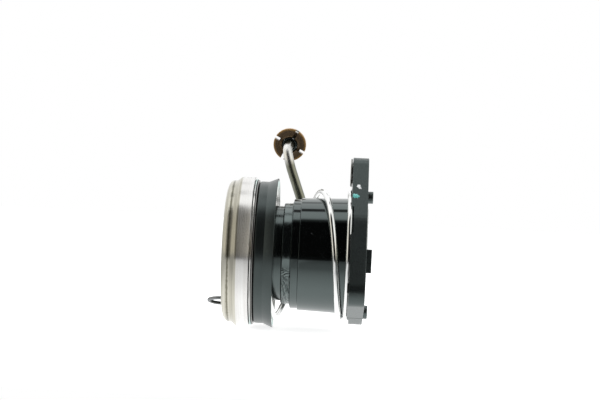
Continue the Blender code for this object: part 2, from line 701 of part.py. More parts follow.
def preload_spring():
    """Coil spring round the barrel that keeps the bearing against the clutch fingers."""
    steps = round((SPRING_END - SPRING_TIP) * SPRING_STEPS_PER_TURN)
    span = SPRING_END - SPRING_TIP
    points = [spring_point(SPRING_TIP + span * i / steps) for i in range(steps + 1)]
    return round_wire("preload_spring", points, WIRE_R, bright_steel())


def spring_collar():
    """Dished collar: a web behind the bearing, a short cylinder and a flared lip."""
    ridge = COLLAR_FRONT_X + COLLAR_CYLINDER_LENGTH
    lip = ridge + COLLAR_LIP_LENGTH
    hole = WIPER_R + 1.5 * GAP
    inner = COLLAR_R - COLLAR_SHEET
    return turned("spring_collar", rounded([
        (COLLAR_FRONT_X, hole, 0), (COLLAR_FRONT_X, COLLAR_R, COLLAR_EDGE),
        (ridge, COLLAR_R, 0), (lip, COLLAR_LIP_R, 0),
        (lip, COLLAR_LIP_R - COLLAR_SHEET, 0), (ridge, inner, 0),
        (COLLAR_BACK_X, inner, 0), (COLLAR_BACK_X, hole, 0),
    ], 2), blackened_steel())


def centring_spring():
    """Thin steel washer that lets the bearing centre itself on the clutch."""
    return washer("centring_spring", CENTRING_BACK_X, CENTRING_FRONT_X,
                  PISTON_FLANGE_R + GAP, CENTRING_R, bright_steel(), segments=ROUND)


def rear_shield():
    """Dished disc that closes the back of the bearing."""
    bore = NOSE_R + GAP
    return turned("rear_shield", [
        (SHIELD_HUB_BACK_X, bore), (SHIELD_HUB_BACK_X, SHIELD_DISH_INNER_R),
        (SHIELD_RIM_BACK_X, SHIELD_DISH_OUTER_R), (SHIELD_RIM_BACK_X, SHIELD_R),
        (SHIELD_RIM_FRONT_X, SHIELD_R), (SHIELD_RIM_FRONT_X, SHIELD_DISH_OUTER_R),
        (SHIELD_HUB_FRONT_X, SHIELD_DISH_INNER_R), (SHIELD_HUB_FRONT_X, bore),
    ], blackened_steel(), HIDDEN_ROUND)


def bearing_inner_ring():
    """Pressed inner ring, its track curled under and behind the balls."""
    track = arc((BALL_X, BALL_CIRCLE_R), TRACK_R, 0, -90, 3)
    profile = [
        (INNER_FRONT_X, INNER_BORE_R), (INNER_BACK_X, INNER_BORE_R),
        (INNER_BACK_X, INNER_FLANGE_R), (INNER_BACK_X - INNER_SHEET, INNER_FLANGE_R),
        *track, (INNER_FRONT_X, INNER_CYLINDER_R),
    ]
    return turned("bearing_inner_ring", profile, brushed_steel(), HIDDEN_ROUND)


def bearing_shell():
    """Pressed outer ring: rear band, step, rolled front and flat contact face."""
    step_x = SHELL_BACK_X - SHELL_BAND_LENGTH
    roll_x = step_x - SHELL_STEP_LENGTH
    inner_r = SHELL_FRONT_R - SHELL_SHEET
    centre = (BALL_X, BALL_CIRCLE_R)
    outside = arc(centre, SHELL_ROLL_R, 90, 180, 5)
    inside = arc(centre, TRACK_R, 180, 90, 3)
    nose = arc((SHELL_FRONT_X + SHELL_NOSE_EDGE, SHELL_BORE_R + SHELL_NOSE_EDGE),
               SHELL_NOSE_EDGE, 180, 270, 2)
    profile = [
        (SHELL_BACK_X, SHELL_BAND_R), (step_x, SHELL_BAND_R), (roll_x, SHELL_FRONT_R),
        *outside, *nose, (SHELL_INNER_FRONT_X, SHELL_BORE_R), *inside,
        (roll_x, inner_r), (step_x, SHELL_BAND_R - SHELL_SHEET),
        (SHELL_BACK_X, SHELL_BAND_R - SHELL_SHEET),
    ]
    return turned("bearing_shell", profile, brushed_steel())


def front_seal():
    """Rubber washer inside the shell's front, running on the inner ring."""
    front = SHELL_INNER_FRONT_X + GAP
    ball_reach = math.sqrt(BALL_R ** 2 - (BALL_R - FRONT_SEAL_THICK) ** 2)
    return washer("front_seal", front + FRONT_SEAL_THICK, front,
                  INNER_CYLINDER_R + GAP, BALL_CIRCLE_R - ball_reach - GAP, rubber())


def ball_cage():
    """Crown cage: a rim behind the balls and a finger between each two."""
    rim_back = BALL_X + TRACK_R + CAGE_RIM_BACK
    rim_front = BALL_X + TRACK_R - CAGE_RIM_BACK / 2
    finger_front = BALL_X - CAGE_FINGER_FRONT
    cage = turned("ball_cage", [
        (rim_back, CAGE_RIM_INNER_R), (rim_back, CAGE_R),
        (finger_front + CAGE_CHAMFER, CAGE_R), (finger_front, CAGE_R - CAGE_CHAMFER),
        (finger_front, CAGE_INNER_R), (rim_front, CAGE_INNER_R), (rim_front, CAGE_RIM_INNER_R),
    ], brown_nylon(), HIDDEN_ROUND)
    for i in range(BALL_COUNT):
        pocket = turned(f"pocket_cutter_{i + 1:02d}", [
            (CAGE_INNER_R - CUTTER_REACH, 0.0), (CAGE_INNER_R - CUTTER_REACH, TRACK_R),
            (CAGE_R + MM, TRACK_R), (CAGE_R + MM, 0.0),
        ], None, POCKET_STEPS)
        spoke = Matrix.Rotation(math.radians(360 * i / BALL_COUNT), 4, "X")
        pocket.matrix_world = (Matrix.Translation((BALL_X, 0, 0)) @ spoke
                               @ Matrix.Rotation(math.radians(90), 4, "Z"))
        combine(cage, pocket, "DIFFERENCE")
    return cage


def balls():
    """The bearing balls, all on one circle and sharing one mesh."""
    bm = bmesh.new()
    bmesh.ops.create_icosphere(bm, subdivisions=2, radius=BALL_R)
    first = place("ball_01", bm, bright_steel())
    made = [first]
    for i in range(1, BALL_COUNT):
        ball = bpy.data.objects.new(f"ball_{i + 1:02d}", first.data)
        bpy.context.scene.collection.objects.link(ball)
        made.append(ball)
    for i, ball in enumerate(made):
        y, z = polar(BALL_CIRCLE_R, 360 * i / BALL_COUNT)
        ball.location = (BALL_X, y, z)
    return made


def rounded_path(corners, step):
    """A path in space through corners (point, bend radius), with arcs of about one step."""
    points = []
    for i, (corner, radius) in enumerate(corners):
        here = Vector(corner)
        if radius <= 0:
            points.append(here)
            continue
        before = (Vector(corners[i - 1][0]) - here).normalized()
        after = (Vector(corners[i + 1][0]) - here).normalized()
        half = before.angle(after) / 2
        centre = here + (before + after).normalized() * (radius / math.sin(half))
        first = here + before * (radius / math.tan(half)) - centre
        turn = math.pi - 2 * half
        axis = before.cross(after)
        steps = max(2, round(turn * radius / step))
        for k in range(steps + 1):
            spoke = first.copy()
            spoke.rotate(Matrix.Rotation(-turn * k / steps, 3, axis))
            points.append(centre + spoke)
    return points


def retaining_clip():
    """Omega-shaped wire clip: an open ring in the nose's groove and a loop to pull it by."""
    offset = math.degrees(math.asin(CLIP_LOOP_R / CLIP_RING_R))
    reach = math.sqrt(CLIP_RING_R ** 2 - CLIP_LOOP_R ** 2) + CLIP_LOOP_LIFT
    loop_x = CLIP_X - 2 * CLIP_WIRE_R
    out_y, out_z = polar(1.0, CLIP_LOOP_ANGLE)
    outward, sideways = Vector((0, out_y, out_z)), Vector((0, -out_z, out_y))
    half_ring = []
    ring_steps = 12
    ring_sweep = 180 - CLIP_OPENING / 2 - offset
    for k in range(ring_steps + 1):
        angle = 180 - CLIP_OPENING / 2 - ring_sweep * k / ring_steps
        y, z = polar(CLIP_RING_R, angle)
        half_ring.append(Vector((CLIP_X, 0, 0)) + outward * y + sideways * z)
    loop_root = Vector((loop_x, 0, 0)) + outward * reach + sideways * CLIP_LOOP_R
    bend = rounded_path([(half_ring[-2], 0), (half_ring[-1], CLIP_BEND_R), (loop_root, 0)],
                        CLIP_BEND_R / 2)
    loop = []
    for k in range(1, CLIP_LOOP_STEPS):
        angle = math.pi * k / CLIP_LOOP_STEPS
        loop.append(Vector((loop_x - CLIP_LOOP_R * math.sin(angle), 0, 0)) + outward * reach
                    + sideways * CLIP_LOOP_R * math.cos(angle))
    one_side = half_ring[:-2] + bend
    mirrored = [p - 2 * p.dot(sideways) * sideways for p in reversed(one_side)]
    return round_wire("retaining_clip", one_side + loop + mirrored, CLIP_WIRE_R, dark_steel(), 1)


def swept_tube(name, path, outer, inner, sides, finish):
    """A hollow round tube along a path, its ends cut square."""
    bm = bmesh.new()
    side = None
    rings = []
    for i, point in enumerate(path):
        ahead = path[min(i + 1, len(path) - 1)] - point
        behind = point - path[max(i - 1, 0)]
        along = (ahead.normalized() + behind.normalized()).normalized()
        side = (side or Vector((0, 0, 1))) - along * (side or Vector((0, 0, 1))).dot(along)
        side.normalize()
        across = along.cross(side)
        stretch = 1.0
        if ahead.length and behind.length:
            stretch = 1.0 / math.cos(ahead.angle(behind) / 2)
        for radius in (outer, inner):
            ring = []
            for k in range(sides):
                angle = 2 * math.pi * k / sides
                spoke = side * math.cos(angle) + across * math.sin(angle)
                ring.append(bm.verts.new(point + spoke * radius * stretch))
            rings.append(ring)
    walls = []
    for i in range(len(path) - 1):
        walls.append((rings[2 * i], rings[2 * i + 2]))
        walls.append((rings[2 * i + 3], rings[2 * i + 1]))
    walls.append((rings[1], rings[0]))
    walls.append((rings[-2], rings[-1]))
    for first, second in walls:
        for k in range(sides):
            n = (k + 1) % sides
            bm.faces.new((first[k], first[n], second[n], second[k]))
    return place(name, bm, finish)


def connector_frame():
    """Place and turn of the connector: its X axis follows the pipe's last leg."""
    mouth = Vector(COLLET_PLACE)
    along = mouth - Vector((PIPE_TOP_X, PORT_Y, PIPE_TOP_Z))
    return Matrix.Translation(mouth) @ along.to_track_quat("X", "Z").to_matrix().to_4x4()


def pipe_route():
    """Corners of the pipe from inside the port to inside the connector."""
    start_x = PORT_FRONT_X + PIPE_INSERTION - GAP
    end = connector_frame() @ Vector((PIPE_PAST_COLLET, 0, 0))
    return [
        ((start_x, PORT_Y, PORT_Z), 0),
        ((PIPE_KNEE_X, PORT_Y, PORT_Z), PIPE_KNEE_R),
        ((PIPE_LEAN_X, PORT_Y, PIPE_LEAN_Z), PIPE_LEAN_R),
        ((PIPE_TOP_X, PORT_Y, PIPE_TOP_Z), PIPE_TOP_R),
        (end, 0),
    ]


def hydraulic_pipe():
    """Steel pipe from the port, up past the bearing and back to the connector."""
    path = rounded_path(pipe_route(), 1.5 * PIPE_R)
    return swept_tube("hydraulic_pipe", path, PIPE_R, PIPE_R - PIPE_WALL, PIPE_SIDES, plated_pipe())


def port_seal():
    """O-ring round the pipe in its socket."""
    x = PORT_FRONT_X + PIPE_INSERTION / 2 - GAP / 2
    ring = torus("port_seal", x, PIPE_R + GAP + SMALL_SEAL_R, SMALL_SEAL_R, rubber(),
                 segments=SMALL_ROUND)
    ring.location = (0, PORT_Y, PORT_Z)
    return ring


def on_pipe_end(piece):
    """Turn a piece made along X so that it lies on the pipe's last leg."""
    piece.matrix_world = connector_frame()
    return piece


def connector_collet():
    """Slotted nylon collet with a round flange, on the spigot's neck."""
    collet = turned("connector_collet", rounded([
        (0, COLLET_BORE_R, 0), (0, COLLET_R, PEG_EDGE), (COLLET_THICK, COLLET_R, PEG_EDGE),
        (COLLET_THICK, COLLET_HUB_R, 0), (COLLET_LENGTH, COLLET_HUB_R, PEG_EDGE),
        (COLLET_LENGTH, COLLET_BORE_R, 0),
    ], 1), brown_nylon(), SEAL_ROUND)
    on_pipe_end(collet)
    half, reach = COLLET_SLOT / 2, COLLET_R + MM
    arm = [(half, half), (reach, half), (reach, -half)]
    cross = []
    for k in range(4):
        turn = Matrix.Rotation(math.radians(-90 * k), 2)
        cross += [tuple(turn @ Vector(point)) for point in arm]
    slots = prism("slot_cutter", list(reversed(cross)), -MM, COLLET_SLOT_DEPTH, None)
    spin = Matrix.Rotation(math.radians(COLLET_SLOT_ANGLE), 4, "X")
    slots.matrix_world = connector_frame() @ spin
    combine(collet, slots, "DIFFERENCE")
    return collet


def connector_sleeve():
    """Black rubber sleeve that fills the collet's bore round the pipe."""
    sleeve = washer("connector_sleeve", SLEEVE_LENGTH + GAP, GAP, PIPE_R + GAP,
                    PIPE_R + GAP + SLEEVE_WALL, rubber(), segments=SMALL_ROUND)
    return on_pipe_end(sleeve)


def connector_spigot():
    """Plug-in end of the pipe: neck in the collet, collar, and a nose with a seal groove."""
    neck_start = SLEEVE_LENGTH + 2 * GAP
    collar_start = COLLET_LENGTH + GAP
    nose_start = collar_start + SPIGOT_COLLAR_LENGTH
    nose_end = nose_start + SPIGOT_LENGTH
    groove_start = nose_start + SPIGOT_LENGTH / 2 - SMALL_SEAL_R - GAP
    groove_end = groove_start + 2 * (SMALL_SEAL_R + GAP)
    pipe_stop = PIPE_PAST_COLLET + GAP
    spigot = turned("connector_spigot", rounded([
        (neck_start, PIPE_R + GAP, 0), (neck_start, SPIGOT_NECK_R, 0),
        (collar_start, SPIGOT_NECK_R, 0), (collar_start, SPIGOT_COLLAR_R, PEG_EDGE),
        (nose_start, SPIGOT_COLLAR_R, PEG_EDGE), (nose_start, SPIGOT_R, 0),
        (groove_start, SPIGOT_R, 0), (groove_start, SPIGOT_GROOVE_R, 0),
        (groove_end, SPIGOT_GROOVE_R, 0), (groove_end, SPIGOT_R, 0),
        (nose_end, SPIGOT_R, 2 * PEG_EDGE), (nose_end, SPIGOT_BORE_R, 0),
        (pipe_stop, SPIGOT_BORE_R, 0), (pipe_stop, PIPE_R + GAP, 0),
    ], 1), dark_steel(), SMALL_ROUND)
    return on_pipe_end(spigot)


def connector_seal():
    """O-ring in the spigot's groove."""
    x = COLLET_LENGTH + GAP + SPIGOT_COLLAR_LENGTH + SPIGOT_LENGTH / 2
    ring = torus("connector_seal", x, SPIGOT_GROOVE_R + GAP + SMALL_SEAL_R, SMALL_SEAL_R,
                 rubber(), segments=SMALL_ROUND)
    return on_pipe_end(ring)


def bolt_bush(where):
    """Steel bush in a bolt ear. The top one has a head in front of the flange."""
    y, z = polar(BOLT_CIRCLE_R, EAR_ANGLES[where])
    back = -GAP
    if where == "top":
        seat = FLANGE_FRONT_X - GAP
        front = seat - BUSH_HEAD_THICK
        profile = [(back, BUSH_HOLE_R), (back, BUSH_R), (seat, BUSH_R), (seat, BUSH_HEAD_R),
                   (front, BUSH_HEAD_R), (front, BUSH_HOLE_R)]
    else:
        front = FLANGE_FRONT_X
        profile = [(back, BUSH_HOLE_R), (back, BUSH_R), (front, BUSH_R), (front, BUSH_HOLE_R)]
    bush = turned(f"bolt_bush_{where}", profile, dark_steel(), SMALL_ROUND)
    bush.location = (0, y, z)
    return bush


def carried_by(name, pieces, parent=None):
    """An empty on the joint's axis that carries the pieces of one moving body."""
    carrier = bpy.data.objects.new(name, None)
    bpy.context.scene.collection.objects.link(carrier)
    carrier.parent = parent
    for piece in pieces:
        piece.parent = carrier
    return carrier


def main():
    clear_scene()
    housing()
    guide_tube()
    guide_tube_seal()
    stop_ring()
    face_seal()
    wiper_ring()
    preload_spring()
    hydraulic_pipe()
    port_seal()
    connector_collet()
    connector_sleeve()
    connector_spigot()
    connector_seal()
    for where in EAR_ANGLES:
        bolt_bush(where)
    sliding = [piston(), piston_seal(), spring_collar(), centring_spring(), rear_shield(),
               bearing_inner_ring(), retaining_clip()]
    slide = carried_by("piston_slide", sliding)
    carried_by("bearing_spin", [bearing_shell(), front_seal()], slide)
    carried_by("cage_spin", [ball_cage(), *balls()], slide)


main()
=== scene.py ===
# %% [markdown]
# # A clutch slave cylinder with its release bearing
# The part is a hydraulic cylinder shaped like a ring. A piston slides in it and pushes a release bearing
# against the clutch. In this lesson the solids come in as a frame, and every piece that shows gets a finer
# surface and a finish of its own. All lengths are in metres, so a small helper value turns millimetres
# into them.

# %% The frame
import math

import bpy
from mathutils import Matrix, Vector


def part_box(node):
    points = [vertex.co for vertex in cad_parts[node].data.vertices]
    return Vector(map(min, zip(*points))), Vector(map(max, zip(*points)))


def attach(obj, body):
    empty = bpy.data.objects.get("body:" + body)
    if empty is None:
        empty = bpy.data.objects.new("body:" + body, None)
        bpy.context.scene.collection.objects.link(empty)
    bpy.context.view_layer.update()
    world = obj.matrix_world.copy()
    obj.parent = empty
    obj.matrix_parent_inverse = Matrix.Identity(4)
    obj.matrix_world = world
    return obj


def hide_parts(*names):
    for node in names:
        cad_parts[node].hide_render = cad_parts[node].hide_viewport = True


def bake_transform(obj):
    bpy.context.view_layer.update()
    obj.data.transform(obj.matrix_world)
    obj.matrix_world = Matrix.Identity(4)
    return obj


MM = 0.001
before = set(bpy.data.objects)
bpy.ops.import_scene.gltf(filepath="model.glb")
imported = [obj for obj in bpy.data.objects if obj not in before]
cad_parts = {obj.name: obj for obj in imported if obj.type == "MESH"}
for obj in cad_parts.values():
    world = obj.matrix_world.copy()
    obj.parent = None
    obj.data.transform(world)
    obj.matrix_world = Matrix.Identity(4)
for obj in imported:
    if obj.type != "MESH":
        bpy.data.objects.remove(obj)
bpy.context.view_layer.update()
print("solids in the frame:", len(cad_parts))


# %% [markdown]
# ## Shared measures
# Every piece is turned, drawn or moulded round one axis, X. The frame gives each solid's box, and a box gives
# a ring's ends and its outer radius. The sizes that a box can't give, such as a wall, are named where they
# are first needed.

# %% Ends and radii read from the frame
def mm(*sizes):
    """Sizes given in millimetres, as metres."""
    return [size * MM for size in sizes]


def ends_of(node):
    """The x of a solid's end towards the bearing, then of its end towards the gearbox."""
    low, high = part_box(node)
    return low.x, high.x


def radius_of(node):
    """The outer radius of a solid that goes round the axis."""
    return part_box(node)[1].z


GAP, SEAM = mm(0.3, 0.001)
ROUND = 180
shell_front, shell_back = ends_of("bearing_shell")
print("bearing shell from", round(shell_front, 4), "to", round(shell_back, 4))


# %% [markdown]
# ## Two ways to make most pieces
# A lathe turns a bar against a profile, and `spin` does the same to a loop of points. A moulded flange is an
# outline with a thickness, and `extrude` gives it that. Both start from a circle whose corners are put on the
# wanted outline, so the operators do the rest.

# %% Outlines
def arc(centre, radius, start, end, steps):
    """Points on an arc from one angle to another, in degrees."""
    a, b = centre
    angles = [math.radians(start + (end - start) * i / steps) for i in range(steps + 1)]
    return [(a + radius * math.cos(t), b + radius * math.sin(t)) for t in angles]


def fillet(before, corner, after, radius, steps=0, step=MM):
    """Points on the arc that rounds a corner: a number of steps, or one step for each so many metres."""
    here = Vector(corner)
    back = (Vector(before) - here).normalized()
    ahead = (Vector(after) - here).normalized()
    half = back.angle(ahead) / 2
    centre = here + (back + ahead).normalized() * (radius / math.sin(half))
    turn = math.pi - 2 * half
    steps = steps or max(3, round(turn * radius / step))
    points = []
    for k in range(steps + 1):
        spoke = here + back * (radius / math.tan(half)) - centre
        spoke.rotate(Matrix.Rotation(-turn * k / steps, 3, back.cross(ahead)))
        points.append(centre + spoke)
    return points


def rounded(corners, steps=4):
    """A closed outline through corners (a, b, fillet radius), its fillets drawn as arcs."""
    flat = [(a, b, 0.0) for a, b, radius in corners]
    points = []
    for i, (a, b, radius) in enumerate(corners):
        if radius > 0:
            curve = fillet(flat[i - 1], flat[i], flat[(i + 1) % len(flat)], radius, steps)
            points += [(point.x, point.y) for point in curve]
        else:
            points.append((a, b))
    return points


def block(a, b, low, high):
    """The four corners of an outline from a to b and from low to high."""
    return [(a, low), (b, low), (b, high), (a, high)]


def polar(radius, degrees):
    """The (y, z) place at a radius and an angle counted from +Y towards +Z."""
    return radius * math.cos(math.radians(degrees)), radius * math.sin(math.radians(degrees))


# %% A loop of corners in space
def corner_loop(name, places):
    """Add a circle with one corner for each place, and put the corners there."""
    bpy.ops.object.select_all(action="DESELECT")
    bpy.ops.mesh.primitive_circle_add(vertices=len(places), radius=1.0, location=(0, 0, 0))
    made = bpy.context.object
    made.name = name
    made.data.name = name
    for corner, spot in zip(made.data.vertices, places):
        corner.co = spot
    return made


# %% The lathe
def edit_whole(made):
    """Open a shape in edit mode with all of it selected."""
    bpy.context.view_layer.objects.active = made
    bpy.ops.object.mode_set(mode="EDIT")
    bpy.ops.mesh.select_all(action="SELECT")


def close_up(made):
    """Merge the seam of a finished shape and turn its faces outwards."""
    edit_whole(made)
    bpy.ops.mesh.remove_doubles(threshold=SEAM)
    bpy.ops.mesh.normals_make_consistent(inside=False)
    bpy.ops.object.mode_set(mode="OBJECT")
    return made


def turned(name, profile, steps=ROUND):
    """Spin a closed (x, radius) profile all the way round the X axis."""
    made = corner_loop(name, [(x, 0.0, r) for x, r in profile])
    edit_whole(made)
    bpy.ops.mesh.spin(steps=steps, angle=2 * math.pi, center=(0, 0, 0), axis=(1, 0, 0))
    return close_up(made)


# %% The mould
def moulded(name, outline, back, front):
    """Fill a closed (y, z) outline and extrude it along X."""
    made = corner_loop(name, [(back, y, z) for y, z in outline])
    edit_whole(made)
    bpy.ops.mesh.edge_face_add()
    bpy.ops.mesh.extrude_region_move(TRANSFORM_OT_translate={"value": (front - back, 0, 0)})
    return close_up(made)


def round_rims(made, planes, width, segments=3):
    """Bevel the edges that lie in the given planes across the X axis."""
    for edge in made.data.edges:
        spots = [made.data.vertices[i].co.x for i in edge.vertices]
        edge.select = any(all(abs(x - plane) < SEAM for x in spots) for plane in planes)
    bpy.context.view_layer.objects.active = made
    bpy.ops.object.mode_set(mode="EDIT")
    bpy.ops.mesh.select_mode(type="EDGE")
    bpy.ops.mesh.bevel(offset=width, segments=segments, affect="EDGES", clamp_overlap=True)
    bpy.ops.mesh.select_mode(type="VERT")
    bpy.ops.object.mode_set(mode="OBJECT")
    return made


# %% Joining and cutting
def combine(made, other, operation):
    """Join another shape to a piece or cut it away, and delete the other shape."""
    bpy.context.view_layer.objects.active = made
    bpy.ops.object.modifier_add(type="BOOLEAN")
    modifier = made.modifiers[-1]
    modifier.operation = operation
    modifier.solver = "MANIFOLD"
    modifier.object = other
    bpy.ops.object.modifier_apply(modifier=modifier.name)
    bpy.data.objects.remove(other, do_unlink=True)


def moved(made, matrix):
    """Put a shape in its place by its mesh, so that its object stays at the origin."""
    made.data.transform(matrix)
    return made


# %% [markdown]
# ## Wire
# The spring, the clip and the pipe are drawn wire and tube, so a curve with a round section fits them best.
# The curve is turned into a mesh at once.

# %% Bent wire
def wire(name, points, radius, sides):
    """A round wire through a list of points, as a closed mesh."""
    bpy.ops.object.select_all(action="DESELECT")
    bpy.ops.curve.primitive_nurbs_path_add(location=(0, 0, 0))
    made = bpy.context.object
    made.name = name
    curve = made.data
    curve.splines.clear()
    spline = curve.splines.new("POLY")
    spline.points.add(len(points) - 1)
    for knot, point in zip(spline.points, points):
        knot.co = (*point, 1.0)
    curve.bevel_depth = radius
    curve.bevel_resolution = sides // 2 - 2
    curve.use_fill_caps = True
    bpy.ops.object.convert(target="MESH")
    return close_up(bpy.context.object)


def bent(corners, step):
    """A path in space through corners (point, bend radius), its bends as arcs."""
    points = []
    for i, (corner, radius) in enumerate(corners):
        if radius > 0:
            points += fillet(corners[i - 1][0], corner, corners[i + 1][0], radius, step=step)
        else:
            points.append(Vector(corner))
    return points


# %% [markdown]
# ## Finishes
# A finish is a small tree of shader nodes. Each one starts from a Principled shader, whose plain numbers sit
# on its own sockets, and adds patterns that read Object coordinates. The metal pieces were polished while
# they turned, so their scratches run round the axis: a noise that changes fast along X and with the radius,
# but slowly round the axis, looks like that.

# %% Node helpers
def shader(name, colour, metallic, roughness, **sockets):
    """A new material with plain values on its Principled shader's sockets, and its node tree."""
    made = bpy.data.materials.new(name)
    made.use_nodes = True
    principled = made.node_tree.nodes["Principled BSDF"]
    principled.inputs["Base Color"].default_value = (*colour, 1.0)
    principled.inputs["Metallic"].default_value = metallic
    principled.inputs["Roughness"].default_value = roughness
    for socket, value in sockets.items():
        principled.inputs[socket.replace("_", " ")].default_value = value
    made.diffuse_color = (*colour, 1.0)
    return made, made.node_tree


def add(tree, kind, settings=None, **inputs):
    """Add a node, set its options, and fill or link its inputs by name, or by number as i0 or i1."""
    made = tree.nodes.new(kind)
    for option, value in (settings or {}).items():
        setattr(made, option, value)
    for socket, value in inputs.items():
        number = socket[1:]
        target = made.inputs[int(number) if number.isdigit() else socket.replace("_", " ")]
        if isinstance(value, bpy.types.NodeSocket):
            tree.links.new(value, target)
        else:
            target.default_value = value
    return made


def math_node(tree, operation, first, second=0.0, clamp=False):
    """One step of arithmetic on sockets or numbers."""
    settings = {"operation": operation, "use_clamp": clamp}
    return add(tree, "ShaderNodeMath", settings, i0=first, i1=second).outputs[0]


def plus(tree, first, second, clamp=False):
    """The sum of two sockets or numbers."""
    return math_node(tree, "ADD", first, second, clamp)


def times(tree, first, second):
    """The product of two sockets or numbers."""
    return math_node(tree, "MULTIPLY", first, second)


def vector_math(tree, operation, first, second=(0.0, 0.0, 0.0)):
    """One step of arithmetic on vectors. A length or a distance is a number."""
    made = add(tree, "ShaderNodeVectorMath", {"operation": operation}, i0=first, i1=second)
    return made.outputs["Value" if operation in ("LENGTH", "DISTANCE") else "Vector"]


def ramp(tree, value, low, high, start=0.0, end=1.0):
    """Map a value from one span to another, held at both ends."""
    return add(tree, "ShaderNodeMapRange", {"clamp": True}, Value=value, From_Min=low, From_Max=high,
               To_Min=start, To_Max=end).outputs[0]


def blended(tree, share, first, second):
    """Mix two colours by a share."""
    mix = add(tree, "ShaderNodeMix", {"data_type": "RGBA"}, Factor=share)
    for socket, colour in ((mix.inputs[6], first), (mix.inputs[7], second)):
        if isinstance(colour, bpy.types.NodeSocket):
            tree.links.new(colour, socket)
        else:
            socket.default_value = (*colour, 1.0)
    return mix.outputs[2]


def place_on(tree):
    """Object coordinates, which stay with a piece when it moves."""
    return add(tree, "ShaderNodeTexCoord").outputs["Object"]


def along_axis(tree, axis):
    """The Object coordinate along X, Y or Z."""
    return add(tree, "ShaderNodeSeparateXYZ", Vector=place_on(tree)).outputs[axis]


def from_axis(tree):
    """The distance from the X axis."""
    return vector_math(tree, "LENGTH", vector_math(tree, "MULTIPLY", place_on(tree), (0.0, 1.0, 1.0)))


def noise(tree, vector, scale, detail=2.0, roughness=0.5):
    """A noise value between 0 and 1."""
    return add(tree, "ShaderNodeTexNoise", Vector=vector, Scale=scale, Detail=detail,
               Roughness=roughness).outputs[0]


def use(made, **links):
    """Link patterns to the Principled shader's sockets."""
    principled = made.node_tree.nodes["Principled BSDF"]
    for socket, source in links.items():
        made.node_tree.links.new(source, principled.inputs[socket.replace("_", " ")])
    return made


def bump(tree, height, distance, strength):
    """Turn a height pattern into a bent normal."""
    return add(tree, "ShaderNodeBump", Height=height, Distance=distance, Strength=strength).outputs[0]


# %% A pattern that runs round the axis
cone_slope = 0.7


def lathe_lines(tree, fineness, wander=1.0):
    """Noise with fast change along X and the radius, and slow change round the axis."""
    radius = from_axis(tree)
    along = times(tree, plus(tree, along_axis(tree, "X"), times(tree, radius, cone_slope)), fineness)
    y, z = (times(tree, math_node(tree, "DIVIDE", along_axis(tree, axis), radius), wander) for axis in "YZ")
    vector = add(tree, "ShaderNodeCombineXYZ", X=along, Y=y, Z=z).outputs[0]
    return noise(tree, vector, 1.0, 3.0, 0.6)


# %% Polished and plated metal
def brushed_bearing_steel(step):
    """Pressed steel, brushed round the axis, so that a reflection smears along X.

    Behind the step it is polished. In front of it the rolled part is painted darker and browner, as painted
    shade, with a band of painted shade at a seam.
    """
    made, tree = shader("brushed_bearing_steel", (0.72, 0.71, 0.68), 1.0, 0.3, Anisotropic=1.0,
                        Anisotropic_Rotation=0.25)
    seam = step - 3.9 * MM
    x = along_axis(tree, "X")
    fine = lathe_lines(tree, 9000.0, 1.2)
    broad = ramp(tree, lathe_lines(tree, 900.0, 0.5), 0.35, 0.65)
    band = ramp(tree, x, step + 0.1 * MM, step + 0.5 * MM)
    ragged = times(tree, noise(tree, place_on(tree), 700.0, 3.0), 0.8 * MM)
    from_seam = math_node(tree, "ABSOLUTE", math_node(tree, "SUBTRACT", x, seam))
    # A dark band at the seam: painted shade.
    seam_shade = ramp(tree, plus(tree, from_seam, ragged), 0.6 * MM, 1.0 * MM, 0.75, 0.0)
    # The rolled front is painted darker and browner than the polished band: painted shade.
    rolled = blended(tree, broad, (0.43, 0.415, 0.35), (0.6, 0.585, 0.51))
    rolled = blended(tree, seam_shade, rolled, (0.1, 0.095, 0.06))
    polished = blended(tree, broad, (0.72, 0.71, 0.69), (0.8, 0.8, 0.79))
    round_axis = add(tree, "ShaderNodeTangent", {"direction_type": "RADIAL", "axis": "X"}).outputs[0]
    return use(made, Base_Color=blended(tree, band, rolled, polished), Tangent=round_axis,
               Roughness=ramp(tree, fine, 0.3, 0.7, 0.25, 0.33), Normal=bump(tree, fine, 0.012 * MM, 0.5))


def plain_steel(name, colour, roughness):
    """Turned or drawn steel with faint lathe lines and small stains."""
    made, tree = shader(name, colour, 1.0, roughness)
    stains = noise(tree, place_on(tree), 160.0, 4.0)
    dark = tuple(0.8 * c for c in colour)
    light = tuple(min(1.0, 1.12 * c) for c in colour)
    return use(made, Base_Color=blended(tree, stains, dark, light),
               Roughness=ramp(tree, stains, 0.35, 0.65, roughness - 0.06, roughness + 0.08),
               Normal=bump(tree, lathe_lines(tree, 5000.0), 0.015 * MM, 0.4))


def bright_wire():
    """Bright drawn spring wire, almost a mirror, with soft marks from the coiling tool."""
    made, tree = shader("bright_spring_wire", (0.84, 0.85, 0.84), 1.0, 0.1)
    marks = noise(tree, place_on(tree), 420.0, 3.0)
    return use(made, Roughness=ramp(tree, marks, 0.4, 0.7, 0.06, 0.2),
               Base_Color=blended(tree, marks, (0.78, 0.79, 0.78), (0.88, 0.89, 0.88)))


def olive_plating(bend):
    """Zinc plating with an olive cast, a little cloudy, with a painted highlight on its top bend."""
    made, tree = shader("olive_plating", (0.24, 0.25, 0.18), 1.0, 0.38, Coat_Weight=0.8, Coat_Roughness=0.1,
                        Coat_IOR=1.6)
    clouds = noise(tree, place_on(tree), 240.0, 3.0)
    olive = blended(tree, clouds, (0.2, 0.21, 0.15), (0.31, 0.32, 0.26))
    # A painted highlight, near white, round the top bend.
    bend_highlight = ramp(tree, vector_math(tree, "DISTANCE", place_on(tree), bend), 9.0 * MM, 5.5 * MM)
    return use(made, Base_Color=blended(tree, bend_highlight, olive, (0.8, 0.8, 0.78)),
               Roughness=ramp(tree, clouds, 0.3, 0.7, 0.32, 0.42))


